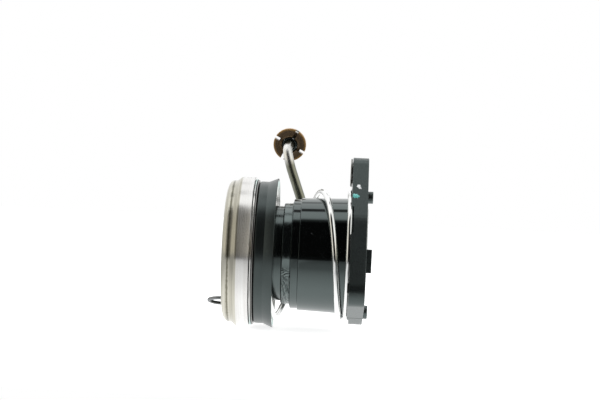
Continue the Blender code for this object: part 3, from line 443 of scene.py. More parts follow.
# %% Plastics and rubber
def black_shader(name, colour, roughness, ior=1.6):
    """A black finish whose reflections are strong and a little cool."""
    return shader(name, colour, 0.0, roughness, IOR=ior, Specular_IOR_Level=1.0,
                  Specular_Tint=(0.82, 1.0, 0.98, 1.0))


def moulded_black(flange_x):
    """Black moulded plastic: a glossy barrel with a few scuffs, and a satin, grained flange."""
    made, tree = black_shader("moulded_black", (0.006, 0.0065, 0.007), 0.12)
    place = place_on(tree)
    flange = ramp(tree, along_axis(tree, "X"), flange_x - 0.1 * MM, flange_x + 0.1 * MM)
    grain = noise(tree, place, 2600.0)
    gloss = ramp(tree, noise(tree, place, 90.0, 3.0), 0.3, 0.7, 0.04, 0.08)
    satin = ramp(tree, grain, 0.3, 0.7, 0.26, 0.36)
    rough = add(tree, "ShaderNodeMix", {"data_type": "FLOAT"}, Factor=flange, i2=gloss, i3=satin).outputs[0]
    streaks = add(tree, "ShaderNodeMapping", Vector=place, Rotation=(0.3, 0.5, 0.2), Scale=(1.0, 0.3, 0.3))
    scuffs = times(tree, ramp(tree, noise(tree, streaks.outputs[0], 2400.0), 0.62, 0.74),
                   ramp(tree, noise(tree, place, 120.0, 1.0), 0.6, 0.68))
    tone = blended(tree, flange, (0.0015, 0.0016, 0.0017), (0.006, 0.0066, 0.0068))
    tone = blended(tree, scuffs, tone, (0.05, 0.055, 0.055))
    height = plus(tree, times(tree, grain, flange), times(tree, scuffs, 0.5))
    return use(made, Base_Color=tone, Roughness=rough, Normal=bump(tree, height, 0.04 * MM, 0.35))


def black_plastic():
    """Smooth black plastic of the piston."""
    made, tree = black_shader("piston_plastic", (0.002, 0.0022, 0.0023), 0.16)
    lines = lathe_lines(tree, 2500.0)
    return use(made, Roughness=ramp(tree, lines, 0.3, 0.7, 0.1, 0.22),
               Normal=bump(tree, lines, 0.01 * MM, 0.4))


def black_rubber(name="black_rubber", wrinkle=0.0):
    """Smooth rubber. The wiper's skin has folds low down, like the height lines of a map."""
    made, tree = black_shader(name, (0.004, 0.0044, 0.0046), 0.16, 1.75 if wrinkle else 1.5)
    place = place_on(tree)
    skin = noise(tree, place, 700.0, 1.0)
    height = times(tree, skin, 0.05)
    if wrinkle:
        folds = math_node(tree, "SINE", times(tree, noise(tree, place, 320.0, 0.0), 42.0))
        low_down = ramp(tree, along_axis(tree, "Z"), -5.0 * MM, -9.0 * MM)
        patches = times(tree, low_down, ramp(tree, noise(tree, place, 80.0, 0.0), 0.3, 0.4))
        height = plus(tree, height, times(tree, times(tree, folds, patches), wrinkle))
    return use(made, Roughness=ramp(tree, skin, 0.3, 0.7, 0.1, 0.2),
               Normal=bump(tree, height, 0.15 * MM, 0.5))


def amber_nylon(frame_of_pipe, radius):
    """Brown nylon whose thin rim and hub are painted lighter amber, as painted light shining through it."""
    made, tree = shader("amber_nylon", (0.08, 0.05, 0.025), 0.0, 0.3, Specular_IOR_Level=0.4)
    place = place_on(tree)
    along = frame_of_pipe.to_3x3() @ Vector((1, 0, 0))
    from_centre = vector_math(tree, "SUBTRACT", place, frame_of_pipe.translation)
    reach = vector_math(tree, "LENGTH", vector_math(tree, "CROSS_PRODUCT", from_centre, along))
    # The lighter amber of the rim, and of the hub below, is painted light shining through the nylon.
    rim = ramp(tree, reach, 0.86 * radius, radius)
    hub = ramp(tree, reach, 0.62 * radius, 0.55 * radius)
    body = blended(tree, noise(tree, place, 300.0, 3.0), (0.06, 0.037, 0.018), (0.1, 0.062, 0.03))
    inner = blended(tree, hub, body, (0.13, 0.085, 0.045))
    return use(made, Base_Color=blended(tree, rim, inner, (0.36, 0.2, 0.055)))


# %% Coating and paint
def matt_coating():
    """Black coating on pressed sheet, dry and slightly grained."""
    made, tree = black_shader("matt_black_coating", (0.005, 0.0055, 0.0058), 0.32, 1.5)
    grain = noise(tree, place_on(tree), 1900.0, 3.0)
    wear = noise(tree, place_on(tree), 70.0, 4.0)
    return use(made, Base_Color=blended(tree, wear, (0.003, 0.0033, 0.0035), (0.008, 0.009, 0.0092)),
               Roughness=ramp(tree, grain, 0.3, 0.7, 0.27, 0.37), Normal=bump(tree, grain, 0.03 * MM, 0.4))


def inside_flare(tree, flare_start, flare_end, radius, flared):
    """A mask for the inner side of a flared, pressed ring."""
    x = along_axis(tree, "X")
    outer = ramp(tree, x, flare_start, flare_end, radius, flared)
    depth = math_node(tree, "SUBTRACT", outer, from_axis(tree))
    behind = ramp(tree, x, flare_start + 0.8 * MM, flare_start + 1.3 * MM)
    return times(tree, ramp(tree, depth, 0.9 * MM, MM), behind)


def left_bare(made, bare):
    """Leave a coated piece as streaky bare steel where a mask says so."""
    tree = made.node_tree
    principled = tree.nodes["Principled BSDF"]
    coated, matt = (principled.inputs[name].links[0].from_socket for name in ("Base Color", "Roughness"))
    streaks = ramp(tree, lathe_lines(tree, 1500.0, 2.0), 0.4, 0.6)
    steel = blended(tree, streaks, (0.38, 0.38, 0.37), (0.78, 0.77, 0.75))
    gloss = times(tree, matt, ramp(tree, bare, 0.0, 1.0, 1.0, 0.5))
    use(made, Base_Color=blended(tree, bare, coated, steel), Metallic=bare, Roughness=gloss)


def paint(name, colour):
    """A thick dab of marking paint."""
    made, tree = shader(name, colour, 0.0, 0.35)
    brush = noise(tree, place_on(tree), 900.0, 3.0)
    dark = tuple(0.85 * c for c in colour)
    return use(made, Base_Color=blended(tree, brush, dark, colour), Normal=bump(tree, brush, 0.1 * MM, 0.5))


print("helpers for finishes are ready")


# %% [markdown]
# ## Giving a piece its place
# A finished piece gets smooth shading, its material, the body that it moves with, and the solids that it
# stands for. One helper does all of that, so no piece is left without a body.

# %% Finishing a piece
def dressed(made, material, body, slot, *nodes, angle=32.0):
    """Shade a piece, give it its finish, and hand it to the body that carries it."""
    bpy.ops.object.select_all(action="DESELECT")
    made.select_set(True)
    bpy.context.view_layer.objects.active = made
    bpy.ops.object.shade_smooth_by_angle(angle=math.radians(angle))
    made.data.materials.clear()
    made.data.materials.append(material)
    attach(made, body)
    if nodes:
        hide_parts(*nodes)
    print(made.name, "faces:", len(made.data.polygons))


HOUSING = "housing_body"
PISTON = "piston_body"
BEARING = "bearing_body"


# %% [markdown]
# ## The housing
# Flange, barrel, port, pegs and key are one moulding. A designer would draw the flange as a disc with lobes
# on straight tangent sides, turn the barrel, and join the small pegs to it. The bore and the holes are cut
# last, so that they run clean through everything.

# %% Flange outline
flange_back = 0.0
flange_thick = 7.8 * MM
flange_front = flange_back - flange_thick
disc_radius, bolt_circle, ear_radius = mm(33.75, 41.75, 7.6)
ear_angles = {"top": 90.0, "near": 201.0, "far": 339.0}
port_y, port_z, port_radius, rim_edge, same_spot = mm(42.0, 2.0, 7.0, 0.7, 0.01)


def lobed_outline(disc_r, lobes, lobe_steps=28, disc_steps=120):
    """A disc with round lobes on straight tangent sides. A lobe is (angle, distance, radius)."""
    spans = []
    for angle, distance, radius in sorted(lobes):
        spread = math.degrees(math.acos((disc_r - radius) / distance))
        spans.append((angle, spread, distance, radius))
    outline = []
    for i, (angle, spread, distance, radius) in enumerate(spans):
        outline += arc(polar(distance, angle), radius, angle - spread, angle + spread, lobe_steps)
        following = spans[(i + 1) % len(spans)]
        leaves = angle + spread
        meets = following[0] - following[1] + (360.0 if i + 1 == len(spans) else 0.0)
        if meets > leaves:
            outline += arc((0, 0), disc_r, leaves, meets, max(2, round((meets - leaves) * disc_steps / 360)))
        else:
            half = math.radians((leaves - meets) / 2)
            outline.append(polar(disc_r / math.cos(half), (leaves + meets) / 2))
    kept = []
    for point in outline:
        if not kept or math.dist(point, kept[-1]) > same_spot:
            kept.append(point)
    return kept[:-1] if math.dist(kept[0], kept[-1]) < same_spot else kept


lobes = [(angle, bolt_circle, ear_radius) for angle in ear_angles.values()]
lobes.append((math.degrees(math.atan2(port_z, port_y)), math.hypot(port_y, port_z), port_radius))
housing = moulded("housing_moulding", lobed_outline(disc_radius, lobes), flange_back, flange_front)
round_rims(housing, [flange_back, flange_front], rim_edge)
print("flange outline corners:", len(housing.data.vertices))


# %% Barrel
barrel_root, barrel_front = mm(28.85, 28.0)
shoulder_x = flange_front - 24.85 * MM
mouth_x = shoulder_x - 3.65 * MM
neck_radius, cylinder_radius = mm(27.25, 23.9)
sunk = flange_thick / 2
taper = (barrel_root - barrel_front) / (flange_front - shoulder_x)
barrel = turned("barrel", rounded([
    (-sunk, 0.0, 0), (-sunk, barrel_root + taper * sunk, 0), (shoulder_x, barrel_front, 0.5 * MM),
    (shoulder_x, neck_radius, 0), (mouth_x, neck_radius, 0.4 * MM), (mouth_x, 0.0, 0),
]))
combine(housing, barrel, "UNION")


# %% Port, pegs, key and rib
def join(made):
    """Make a shape one with the housing."""
    combine(housing, made, "UNION")


port_front = flange_front - 6.2 * MM
bars = {
    "port": (port_y, port_z, port_radius - rim_edge, port_front, rim_edge),
    "upper_peg": mm(-10.0, 29.7, 3.0, 2.6, 0.4),
    "lower_peg": mm(-11.8, -26.6, 3.35, 2.2, 0.4),
}
for name, (y, z, radius, front, edge) in bars.items():
    bar = moulded(name, arc((y, z), radius, 0, 360, 48)[:-1], -sunk, front)
    join(round_rims(bar, [front], edge))
key_y, key_half, key_top = mm(-31.6, 1.3, 4.9)
key_bottom = key_top - 11.3 * MM
key_proud = 2.7 * MM
key = moulded("key", block(key_y - key_half, key_y + key_half, key_bottom, key_top), -sunk, key_proud)
join(round_rims(key, [key_proud], 0.25 * MM))

# %% Rib and parting line
near_ear = polar(bolt_circle, ear_angles["near"])
rib_outer, rib_inner = mm(6.8, 5.9)
rib_outline = arc(near_ear, rib_outer, 144, 184, 12) + arc(near_ear, rib_inner, 184, 144, 12)
join(moulded("rib", rib_outline, -sunk, flange_front - 0.75 * MM))
lean = math.degrees(math.acos((disc_radius - ear_radius) / bolt_circle))
line_angle = 236.3
line_reach = disc_radius / math.cos(math.radians(ear_angles["near"] + lean - line_angle))
line_outline = arc(polar(line_reach, line_angle), 0.3 * MM, 0, 360, 8)[:-1]
combine(housing, moulded("parting_line", line_outline, MM, flange_front - MM), "DIFFERENCE")
print("housing faces after joining:", len(housing.data.polygons))


# %% Bore and seats
tube_radius, tube_flange_radius, tube_seal_radius, small_seal = mm(17.4, 22.0, 19.9, 0.75)
recess_x, floor_x, wiper_root, wiper_room = mm(-1.9, -5.0, 26.0, 2.4)
groove = small_seal + GAP
seal_low, seal_high = tube_seal_radius - groove, tube_seal_radius + groove
seal_x = recess_x - 2 * small_seal
tube_flange_room = tube_flange_radius + GAP
tube_room = tube_radius + GAP
wiper_x = mouth_x + wiper_room
bore = turned("bore", [
    (MM, 0.0), (MM, tube_flange_room), (recess_x, tube_flange_room), (recess_x, seal_high),
    (seal_x, seal_high), (seal_x, seal_low), (recess_x, seal_low), (recess_x, tube_room),
    (floor_x, tube_room), (floor_x, cylinder_radius), (wiper_x, cylinder_radius), (wiper_x, wiper_root + GAP),
    (mouth_x - MM, wiper_root + GAP), (mouth_x - MM, 0.0),
])
combine(housing, bore, "DIFFERENCE")
seat_x = flange_front + 1.1 * MM
seat_inner, seat_outer = barrel_root + 0.15 * MM, 34.15 * MM
combine(housing, turned("seat", block(seat_x, flange_front - MM, seat_inner, seat_outer)), "DIFFERENCE")
face_radius, face_half = mm(24.9, 1.3)
seal_room = turned("seal_room", block(MM, recess_x, face_radius - face_half, face_radius + face_half))
combine(housing, seal_room, "DIFFERENCE")
print("spring seat depth:", round(seat_x - flange_front, 4))


# %% Holes
bush_radius = 5.3 * MM
for where, angle in ear_angles.items():
    y, z = polar(bolt_circle, angle)
    hole = moulded(f"{where}_hole", arc((y, z), bush_radius + GAP, 0, 360, 64)[:-1], MM, flange_front - MM)
    combine(housing, hole, "DIFFERENCE")
pipe_radius = 2.5 * MM
pipe_room = pipe_radius + GAP
drilling = 1.2 * MM
socket_end = port_front + 5.4 * MM
socket = turned("socket", [
    (floor_x, 0.0), (floor_x, drilling), (socket_end, drilling), (socket_end, pipe_room),
    (port_front - MM, pipe_room), (port_front - MM, 0.0),
], 48)
combine(housing, moved(socket, Matrix.Translation((0, port_y, port_z))), "DIFFERENCE")
dressed(housing, moulded_black(flange_front), HOUSING, "housing_black", "housing", angle=28.0)

# %% Normals of the flat faces
# The large flat faces set the normals beside their rounded edges, so that no soft shadow runs into them.
bpy.context.view_layer.objects.active = housing
bpy.ops.object.modifier_add(type="WEIGHTED_NORMAL")
housing.modifiers[-1].keep_sharp = True
bpy.ops.object.modifier_apply(modifier=housing.modifiers[-1].name)
print("housing normals are weighted")


# %% [markdown]
# ## Dabs of marking paint
# Someone in the works marked this part with two dabs of paint on the side of its top ear. A dab is a thin
# puddle, so its outline is drawn on that side, given a little thickness, and its rim rounded off.

# %% Paint on the ear's side
side_angle = ear_angles["top"] + lean
side_normal = Vector((0, *polar(1.0, side_angle)))
side_along = Vector((0, side_normal.z, -side_normal.y))
dab_sunk, dab_thick = mm(0.1, 0.22)
dab_rim = 0.86


def dab(name, spots, colour):
    """A thin dab through (x, distance along the ear's side) spots, in millimetres."""
    flat = side_normal * (disc_radius - dab_sunk)
    rim = [flat + Vector((x * MM, 0, 0)) + side_along * (along * MM) for x, along in spots]
    made = corner_loop(name, rim)
    edit_whole(made)
    bpy.ops.mesh.edge_face_add()
    bpy.ops.mesh.extrude_region_move(TRANSFORM_OT_translate={"value": side_normal * dab_thick})
    bpy.ops.transform.resize(value=(dab_rim, dab_rim, dab_rim))
    dressed(close_up(made), paint(name, colour), HOUSING, "housing_black", angle=60.0)


dab("white_paint", [(-5.9, 17.7), (-5.3, 18.95), (-4.1, 18.9), (-3.9, 17.8), (-3.2, 16.2), (-4.6, 16.1),
                    (-5.1, 16.8)], (0.97, 0.98, 0.99))
dab("teal_paint", [(-7.7, 12.7), (-7.0, 13.3), (-6.3, 12.8), (-5.5, 13.2), (-5.0, 12.4), (-4.2, 11.9),
                   (-4.0, 11.1), (-4.8, 10.7), (-5.3, 10.2), (-6.0, 10.6), (-6.6, 10.0), (-7.2, 10.6),
                   (-7.7, 11.2), (-7.5, 12.0)], (0.16, 0.58, 0.54))


# %% [markdown]
# ## The guide tube and the seals of the housing
# The tube is drawn steel with a flared back. The wiper is moulded rubber whose skin wrinkles where it was
# fitted, and the pale ring in the back face is a moulded seal that stands a little proud.

# %% Guide tube
tube_front, tube_back = ends_of("guide_tube")
tube_inner = tube_radius - 1.2 * MM
flange_x = tube_back - 1.3 * MM
stop_front, stop_back = ends_of("stop_ring")
stop_front, stop_back = stop_front - GAP / 2, stop_back + GAP / 2
stop_groove = tube_radius - 0.5 * MM
tube = turned("guide_tube_drawn", rounded([
    (tube_back, tube_inner, 0.5 * MM), (tube_back, tube_flange_radius, 0.2 * MM),
    (flange_x, tube_flange_radius, 0.2 * MM), (flange_x, tube_radius, 0), (stop_back, tube_radius, 0),
    (stop_back, stop_groove, 0), (stop_front, stop_groove, 0), (stop_front, tube_radius, 0),
    (tube_front, tube_radius, 0.3 * MM), (tube_front, tube_inner, 0.3 * MM),
]))
steel = plain_steel("drawn_steel", (0.5, 0.5, 0.49), 0.28)
dressed(tube, steel, HOUSING, "tube_steel", "guide_tube")

# %% Wiper ring
wiper_front = ends_of("wiper_ring")[0]
wiper_radius = 25.15 * MM
wiper_foot = mouth_x + 2.1 * MM
wiper = turned("wiper_ring_moulded", rounded([
    (wiper_foot, cylinder_radius, 0), (wiper_foot, wiper_root, 0), (mouth_x - GAP, wiper_root, 0.2 * MM),
    (mouth_x - GAP, wiper_radius, 0.1 * MM), (wiper_front, wiper_radius, 0.6 * MM),
    (wiper_front, cylinder_radius, 0.15 * MM),
]))
dressed(wiper, black_rubber("wrinkled_rubber", 1.8), HOUSING, "seal_rubber", "wiper_ring")

# %% Face seal
face_front, face_back = ends_of("face_seal")
bead_inner, bead_outer = face_radius - MM, face_radius + MM
face_seal = turned("face_seal_moulded", rounded([
    (face_front, bead_inner, 0.2 * MM), (face_front, bead_outer, 0.2 * MM),
    (face_back, bead_outer, 0.9 * MM), (face_back, bead_inner, 0.9 * MM),
], 5))
pale, tree = shader("pale_rubber", (0.62, 0.62, 0.6), 0.0, 0.5)
mottle = noise(tree, place_on(tree), 500.0, 3.0)
use(pale, Base_Color=blended(tree, mottle, (0.54, 0.54, 0.51), (0.7, 0.7, 0.68)),
    Normal=bump(tree, mottle, 0.05 * MM, 0.3))
dressed(face_seal, pale, HOUSING, "pale_rubber", "face_seal")

# %% Bushes
dull = plain_steel("dull_bush_steel", (0.3, 0.31, 0.3), 0.36)
bolt_room, head_radius = mm(4.2, 7.0)
head_x = flange_front - GAP
for where, angle in ear_angles.items():
    low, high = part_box(f"bolt_bush_{where}")
    corners = [(high.x, bolt_room, 0.3 * MM), (high.x, bush_radius, 0.1 * MM)]
    if where == "top":
        corners += [(head_x, bush_radius, 0), (head_x, head_radius, 0.15 * MM),
                    (low.x, head_radius, 0.25 * MM)]
    else:
        corners.append((low.x, bush_radius, 0.1 * MM))
    corners.append((low.x, bolt_room, 0.3 * MM))
    bush = turned(f"bush_{where}", rounded(corners, 3), 72)
    moved(bush, Matrix.Translation((0, *polar(bolt_circle, angle))))
    dressed(bush, dull, HOUSING, "bush_steel", f"bolt_bush_{where}")


# %% [markdown]
# ## The preload spring
# One length of bright wire, closed at both ends and open between. Its centre line is a helix that climbs fast
# in its open turn and slowly near its ends, so a short table of turns and heights, with a smooth curve
# through it, says where the wire is.

# %% Spring
wire_radius, spring_radius = mm(1.5, 31.75)
spring_low, spring_high = ends_of("preload_spring")
spring_front, spring_back = spring_low + wire_radius, spring_high - wire_radius
tip, end = -1.24, 1.93
steps_per_turn = 120
climb = ((-0.57, 0.0), (0.0, 0.18), (0.25, 0.425), (0.45, 0.622), (0.6, 0.761), (0.75, 0.856), (0.93, 0.925),
         (1.1, 0.969), (1.4, 1.013))


def smooth_share(turns, table):
    """A smooth curve through a table's rising steps, level at both ends."""
    slopes = [(b[1] - a[1]) / (b[0] - a[0]) for a, b in zip(table, table[1:])]
    tangents = [0.0] + [2 * p * q / (p + q) for p, q in zip(slopes, slopes[1:])] + [0.0]
    turns = min(max(turns, table[0][0]), table[-1][0])
    i = max(k for k in range(len(slopes)) if turns >= table[k][0])
    (start, low), (stop, high) = table[i], table[i + 1]
    t = (turns - start) / (stop - start)
    ease = t * t * (3 - 2 * t)
    lean = (t - 1) ** 2 * t * tangents[i] + (t - 1) * t * t * tangents[i + 1]
    return low + (high - low) * ease + (stop - start) * lean


def spring_point(turns):
    """The wire's centre after so many turns from the place nearest to the floor."""
    rise = smooth_share(turns, climb)
    angle = 2 * math.pi * turns
    return (spring_front + (spring_back - spring_front) * rise,
            spring_radius * math.sin(angle), -spring_radius * math.cos(angle))


steps = round((end - tip) * steps_per_turn)
spring = wire("preload_spring_wire", [spring_point(tip + (end - tip) * i / steps) for i in range(steps + 1)],
              wire_radius, 20)
bpy.ops.object.shade_smooth_by_angle(angle=math.radians(40))
spring.data.materials.append(bright_wire())
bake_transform(spring)
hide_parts("preload_spring")
print("spring turns:", round(end - tip, 2))


# %% [markdown]
# ## Piston, collar and plates
# The piston is a black sleeve with a flange behind the bearing and a nose inside it. The collar and the
# shield are pressed from sheet and coated black, so their edges are soft, and a thin bright washer lies
# between them.

# %% Piston
piston_front, piston_back = ends_of("piston")
collar_front, collar_back = ends_of("spring_collar")
piston_outer = cylinder_radius - GAP
nose, shoulder_radius = mm(25.0, 29.0)
shoulder_back = collar_front - GAP
shoulder_front = shoulder_back - 4.0 * MM
clip_x = -67.4 * MM
clip_back, clip_front = clip_x + 1.2 * MM, clip_x - 1.05 * MM
clip_seat = nose - 0.6 * MM
counterbore, counterbore_x = tube_radius + 2.6 * MM, -52.0 * MM
sleeve = turned("piston_moulded", rounded([
    (piston_back, tube_room, 0.2 * MM), (piston_back, piston_outer, 0.5 * MM),
    (shoulder_back, piston_outer, 0), (shoulder_back, shoulder_radius, 0.3 * MM),
    (shoulder_front, shoulder_radius, 0.3 * MM), (shoulder_front, nose, 0), (clip_back, nose, 0),
    (clip_back, clip_seat, 0.2 * MM), (clip_front, clip_seat, 0.2 * MM), (clip_front, nose, 0.1 * MM),
    (piston_front, nose, 0.15 * MM), (piston_front, counterbore, 0.5 * MM),
    (counterbore_x, counterbore, 0), (counterbore_x, tube_room, 0),
]))
dressed(sleeve, black_plastic(), PISTON, "piston_black", "piston")

# %% Spring collar
collar_radius = 35.35 * MM
lip_radius = radius_of("spring_collar")
sheet = 1.3 * MM
ridge_x = collar_front + 4.6 * MM
collar_hub = 25.6 * MM
collar_inner = collar_radius - sheet
collar = turned("spring_collar_pressed", rounded([
    (collar_front, collar_hub, 0.3 * MM), (collar_front, collar_radius, 0.9 * MM),
    (ridge_x, collar_radius, 0.5 * MM), (collar_back, lip_radius, 0.25 * MM),
    (collar_back, lip_radius - sheet, 0.25 * MM), (ridge_x, collar_inner, 0.5 * MM),
    (collar_front + sheet, collar_inner, 0.5 * MM), (collar_front + sheet, collar_hub, 0.3 * MM),
]))
pin = moulded("pin", arc((0, 0), 0.55 * MM, 0, 360, 24)[:-1], -0.4 * MM, 0.4 * MM)
pin_place = Vector((-47.8 * MM, -collar_radius, 1.7 * MM))
moved(pin, Matrix.Translation(pin_place) @ Matrix.Rotation(math.radians(90), 4, "Z"))
combine(collar, pin, "DIFFERENCE")
half_coated = matt_coating()
left_bare(half_coated, inside_flare(half_coated.node_tree, ridge_x, collar_back, collar_radius, lip_radius))
dressed(collar, half_coated, PISTON, "collar_black", "spring_collar")

# %% Centring spring and rear shield
washer_front, washer_back = ends_of("centring_spring")
washer_inner, washer_outer = mm(29.3, 36.0)
washer = turned("centring_spring_washer", rounded([
    (washer_back, washer_inner, 0.1 * MM), (washer_back, washer_outer, 0.15 * MM),
    (washer_front, washer_outer, 0.15 * MM), (washer_front, washer_inner, 0.1 * MM),
], 2))
dull_washer = plain_steel("dull_washer_steel", (0.28, 0.28, 0.27), 0.3)
dressed(washer, dull_washer, PISTON, "tube_steel", "centring_spring")
shield_sheet = 0.8 * MM
rim_back = washer_front - GAP
rim_front = rim_back - shield_sheet
hub_back = shoulder_front - GAP
hub_front = hub_back - shield_sheet
hub_radius, dish_radius, shield_radius = mm(30.0, 33.4, 36.4)
coating = matt_coating()
tree = coating.node_tree
left_bare(coating, ramp(tree, from_axis(tree), shield_radius - 0.2 * MM, shield_radius - 0.1 * MM))
shield = turned("rear_shield_pressed", rounded([
    (hub_back, nose + GAP, 0), (hub_back, hub_radius, 0.5 * MM), (rim_back, dish_radius, 0.5 * MM),
    (rim_back, shield_radius, 0.15 * MM), (rim_front, shield_radius, 0.3 * MM),
    (rim_front, dish_radius, 0.5 * MM), (hub_front, hub_radius, 0.5 * MM), (hub_front, nose + GAP, 0),
], 3))
dressed(shield, coating, PISTON, "collar_black", "rear_shield")


# %% [markdown]
# ## The release bearing
# Its outer shell is pressed steel. A straight band at the back steps in to a rolled front, whose inner side
# is the balls' track. Its profile is a few curves and straight runs, as a press tool would be drawn.

# %% Bearing shell
ball_radius = 3.3 * MM
track = ball_radius + GAP
shell_sheet = 1.4 * MM
roll = track + shell_sheet
ball_x = shell_front + roll
ball_circle = 30.3 * MM
front_radius = ball_circle + roll
band_radius = radius_of("bearing_shell")
shoulder_end = shell_back - 6.3 * MM
slope = ((0.0, 0.0), (0.4, 0.08), (0.8, 0.28), (1.2, 0.62), (1.6, 1.02), (2.0, 1.4), (2.4, 1.68), (2.8, 1.84),
         (3.2, 1.9))
shoulder = [(shoulder_end - back * MM, band_radius - drop * MM) for back, drop in slope]
roll_long, roll_tall = mm(3.0, 5.3)
outside = []
for k in range(16):
    angle = math.radians(6 * k)
    outside.append((shell_front + roll_long * (1 - math.sin(angle)),
                    front_radius - roll_tall * (1 - math.cos(angle))))
inside = arc((ball_x, ball_circle), track, 180, 90, 10)
bore_radius, lip_edge = mm(27.7, 1.2)
lip = arc((shell_front + lip_edge, bore_radius + lip_edge), lip_edge, 180, 270, 6)
back_edge = arc((shell_back - 0.2 * MM, band_radius + 0.15 * MM), 0.2 * MM, 0, 90, 3)
back_edge += [(shell_back - 0.5 * MM, band_radius + 0.3 * MM), (shell_back - 0.9 * MM, band_radius)]
shell = turned("bearing_shell_pressed", [
    *back_edge, *shoulder, *outside, *lip, (shell_front + shell_sheet, bore_radius), *inside,
    (shoulder_end - 0.4 * MM, band_radius - shell_sheet), (shell_back, band_radius - shell_sheet),
], 240)
print("shell: band radius", round(band_radius, 4), "roll radius", round(front_radius, 4))
bearing_steel = brushed_bearing_steel(shoulder_end)
dressed(shell, bearing_steel, BEARING, "bearing_steel", "bearing_shell", angle=40.0)

# %% Inner ring and front seal
inner_front, inner_back = ends_of("bearing_inner_ring")
inner_bore = nose + GAP
ring_sheet = 1.4 * MM
inner_outer = inner_bore + ring_sheet
ring_edge, ring_radius = mm(0.2, 31.4)
ring = turned("bearing_inner_ring_pressed", [
    (inner_front, inner_bore + ring_edge), (inner_front + ring_edge, inner_bore), (inner_back, inner_bore),
    (inner_back, ring_radius), (inner_back - ring_sheet, ring_radius),
    *arc((ball_x, ball_circle), track, 0, -90, 10),
    (inner_front + GAP, inner_outer), (inner_front, inner_outer - GAP),
])
dressed(ring, bearing_steel, PISTON, "bearing_steel", "bearing_inner_ring")
seal_front, seal_back = ends_of("front_seal")
seal_inner, seal_outer = inner_outer + GAP, radius_of("front_seal")
front_seal = turned("front_seal_moulded", rounded([
    (seal_back, seal_inner, 0.1 * MM), (seal_back, seal_outer, 0), (seal_front, seal_outer, 0),
    (seal_front, seal_inner, 0.1 * MM),
], 2))
rubber = black_rubber()
dressed(front_seal, rubber, BEARING, "seal_rubber", "front_seal")


# %% [markdown]
# ## The wire clip
# A dark wire lies in a groove of the piston's nose and holds the bearing on. Its middle is bent forwards into
# a loop, like the letter omega, so that it can be pulled off.

# %% Clip
clip_wire, clip_ring, loop_radius = mm(0.9, 25.6, 7.0)
loop_angle = 255.0
loop_x = clip_x - 2 * clip_wire
outward = Vector((0, *polar(1.0, loop_angle)))
sideways = Vector((0, -outward.z, outward.y))


def clip_point(x, out, side):
    """A place on the clip, counted outwards and sideways from the axis."""
    return Vector((x, 0, 0)) + outward * out + sideways * side


reach = math.sqrt(clip_ring ** 2 - loop_radius ** 2) + 0.9 * MM
open_end = 170.0
bend_start = math.degrees(math.asin(loop_radius / clip_ring))
ring_angles = [open_end + (bend_start - open_end) * k / 60 for k in range(61)]
half_ring = [clip_point(clip_x, *polar(clip_ring, angle)) for angle in ring_angles]
root = clip_point(loop_x, reach, loop_radius)
bend = bent([(half_ring[-6], 0), (half_ring[-1], 1.6 * MM), (root, 0)], 0.3 * MM)
loop = []
for k in range(1, 32):
    side, forward = polar(loop_radius, 180 * k / 32)
    loop.append(clip_point(loop_x - forward, reach, side))
one_side = half_ring[:-6] + bend
other_side = [p - 2 * p.dot(sideways) * sideways for p in reversed(one_side)]
clip = wire("retaining_clip_wire", one_side + loop + other_side, clip_wire, 14)
dark_wire = plain_steel("dark_clip_wire", (0.25, 0.26, 0.265), 0.42)
dressed(clip, dark_wire, PISTON, "clip_steel", "retaining_clip")


# %% [markdown]
# ## Pipe and connector
# The pipe leaves its port on the far side, rises past the barrel and bends away at the top into a nylon
# collet with four slots. Behind the collet sits the plug-in end with its sealing ring.

# %% Pipe
pipe_top = Vector((-42.8 * MM, port_y, 53.1 * MM))
collet_place = Vector((-41.87 * MM, 55.6 * MM, 56.3 * MM))
along_pipe = (collet_place - pipe_top).to_track_quat("X", "Z")
on_pipe = Matrix.Translation(collet_place) @ along_pipe.to_matrix().to_4x4()
run_x = -24.7 * MM
route = [
    ((port_front + 5.1 * MM, port_y, port_z), 0), ((run_x, port_y, port_z), 11.0 * MM),
    ((-40.0 * MM, port_y, 43.4 * MM), 30.0 * MM), (pipe_top, 7.5 * MM),
    (on_pipe @ Vector((12.4 * MM, 0, 0)), 0),
]
pipe = wire("hydraulic_pipe_bent", bent(route, 0.5 * MM), pipe_radius, 28)
plating = olive_plating(pipe_top)
dressed(pipe, plating, HOUSING, "pipe_olive", "hydraulic_pipe")

# %% Collet
collet_radius, head_long, hook_radius, hook_end, collet_bore = mm(8.8, 2.6, 6.2, 9.0, 4.3)
collet = turned("collet_moulded", rounded([
    (0, collet_bore, 0.2 * MM), (0, collet_radius, 0.5 * MM), (head_long, collet_radius, 0.5 * MM),
    (head_long, hook_radius, 0.3 * MM), (hook_end, hook_radius, 0.4 * MM), (hook_end, collet_bore, 0.2 * MM),
]), 120)
slot_half = 0.85 * MM
for k in range(4):
    slit = moulded("slit", block(-slot_half, slot_half, 3.0 * MM, collet_radius + MM), -MM, 7.4 * MM)
    combine(collet, moved(slit, Matrix.Rotation(math.radians(28 + 90 * k), 4, "X")), "DIFFERENCE")
moved(collet, on_pipe)
dressed(collet, amber_nylon(on_pipe, collet_radius), HOUSING, "brown_nylon", "connector_collet")

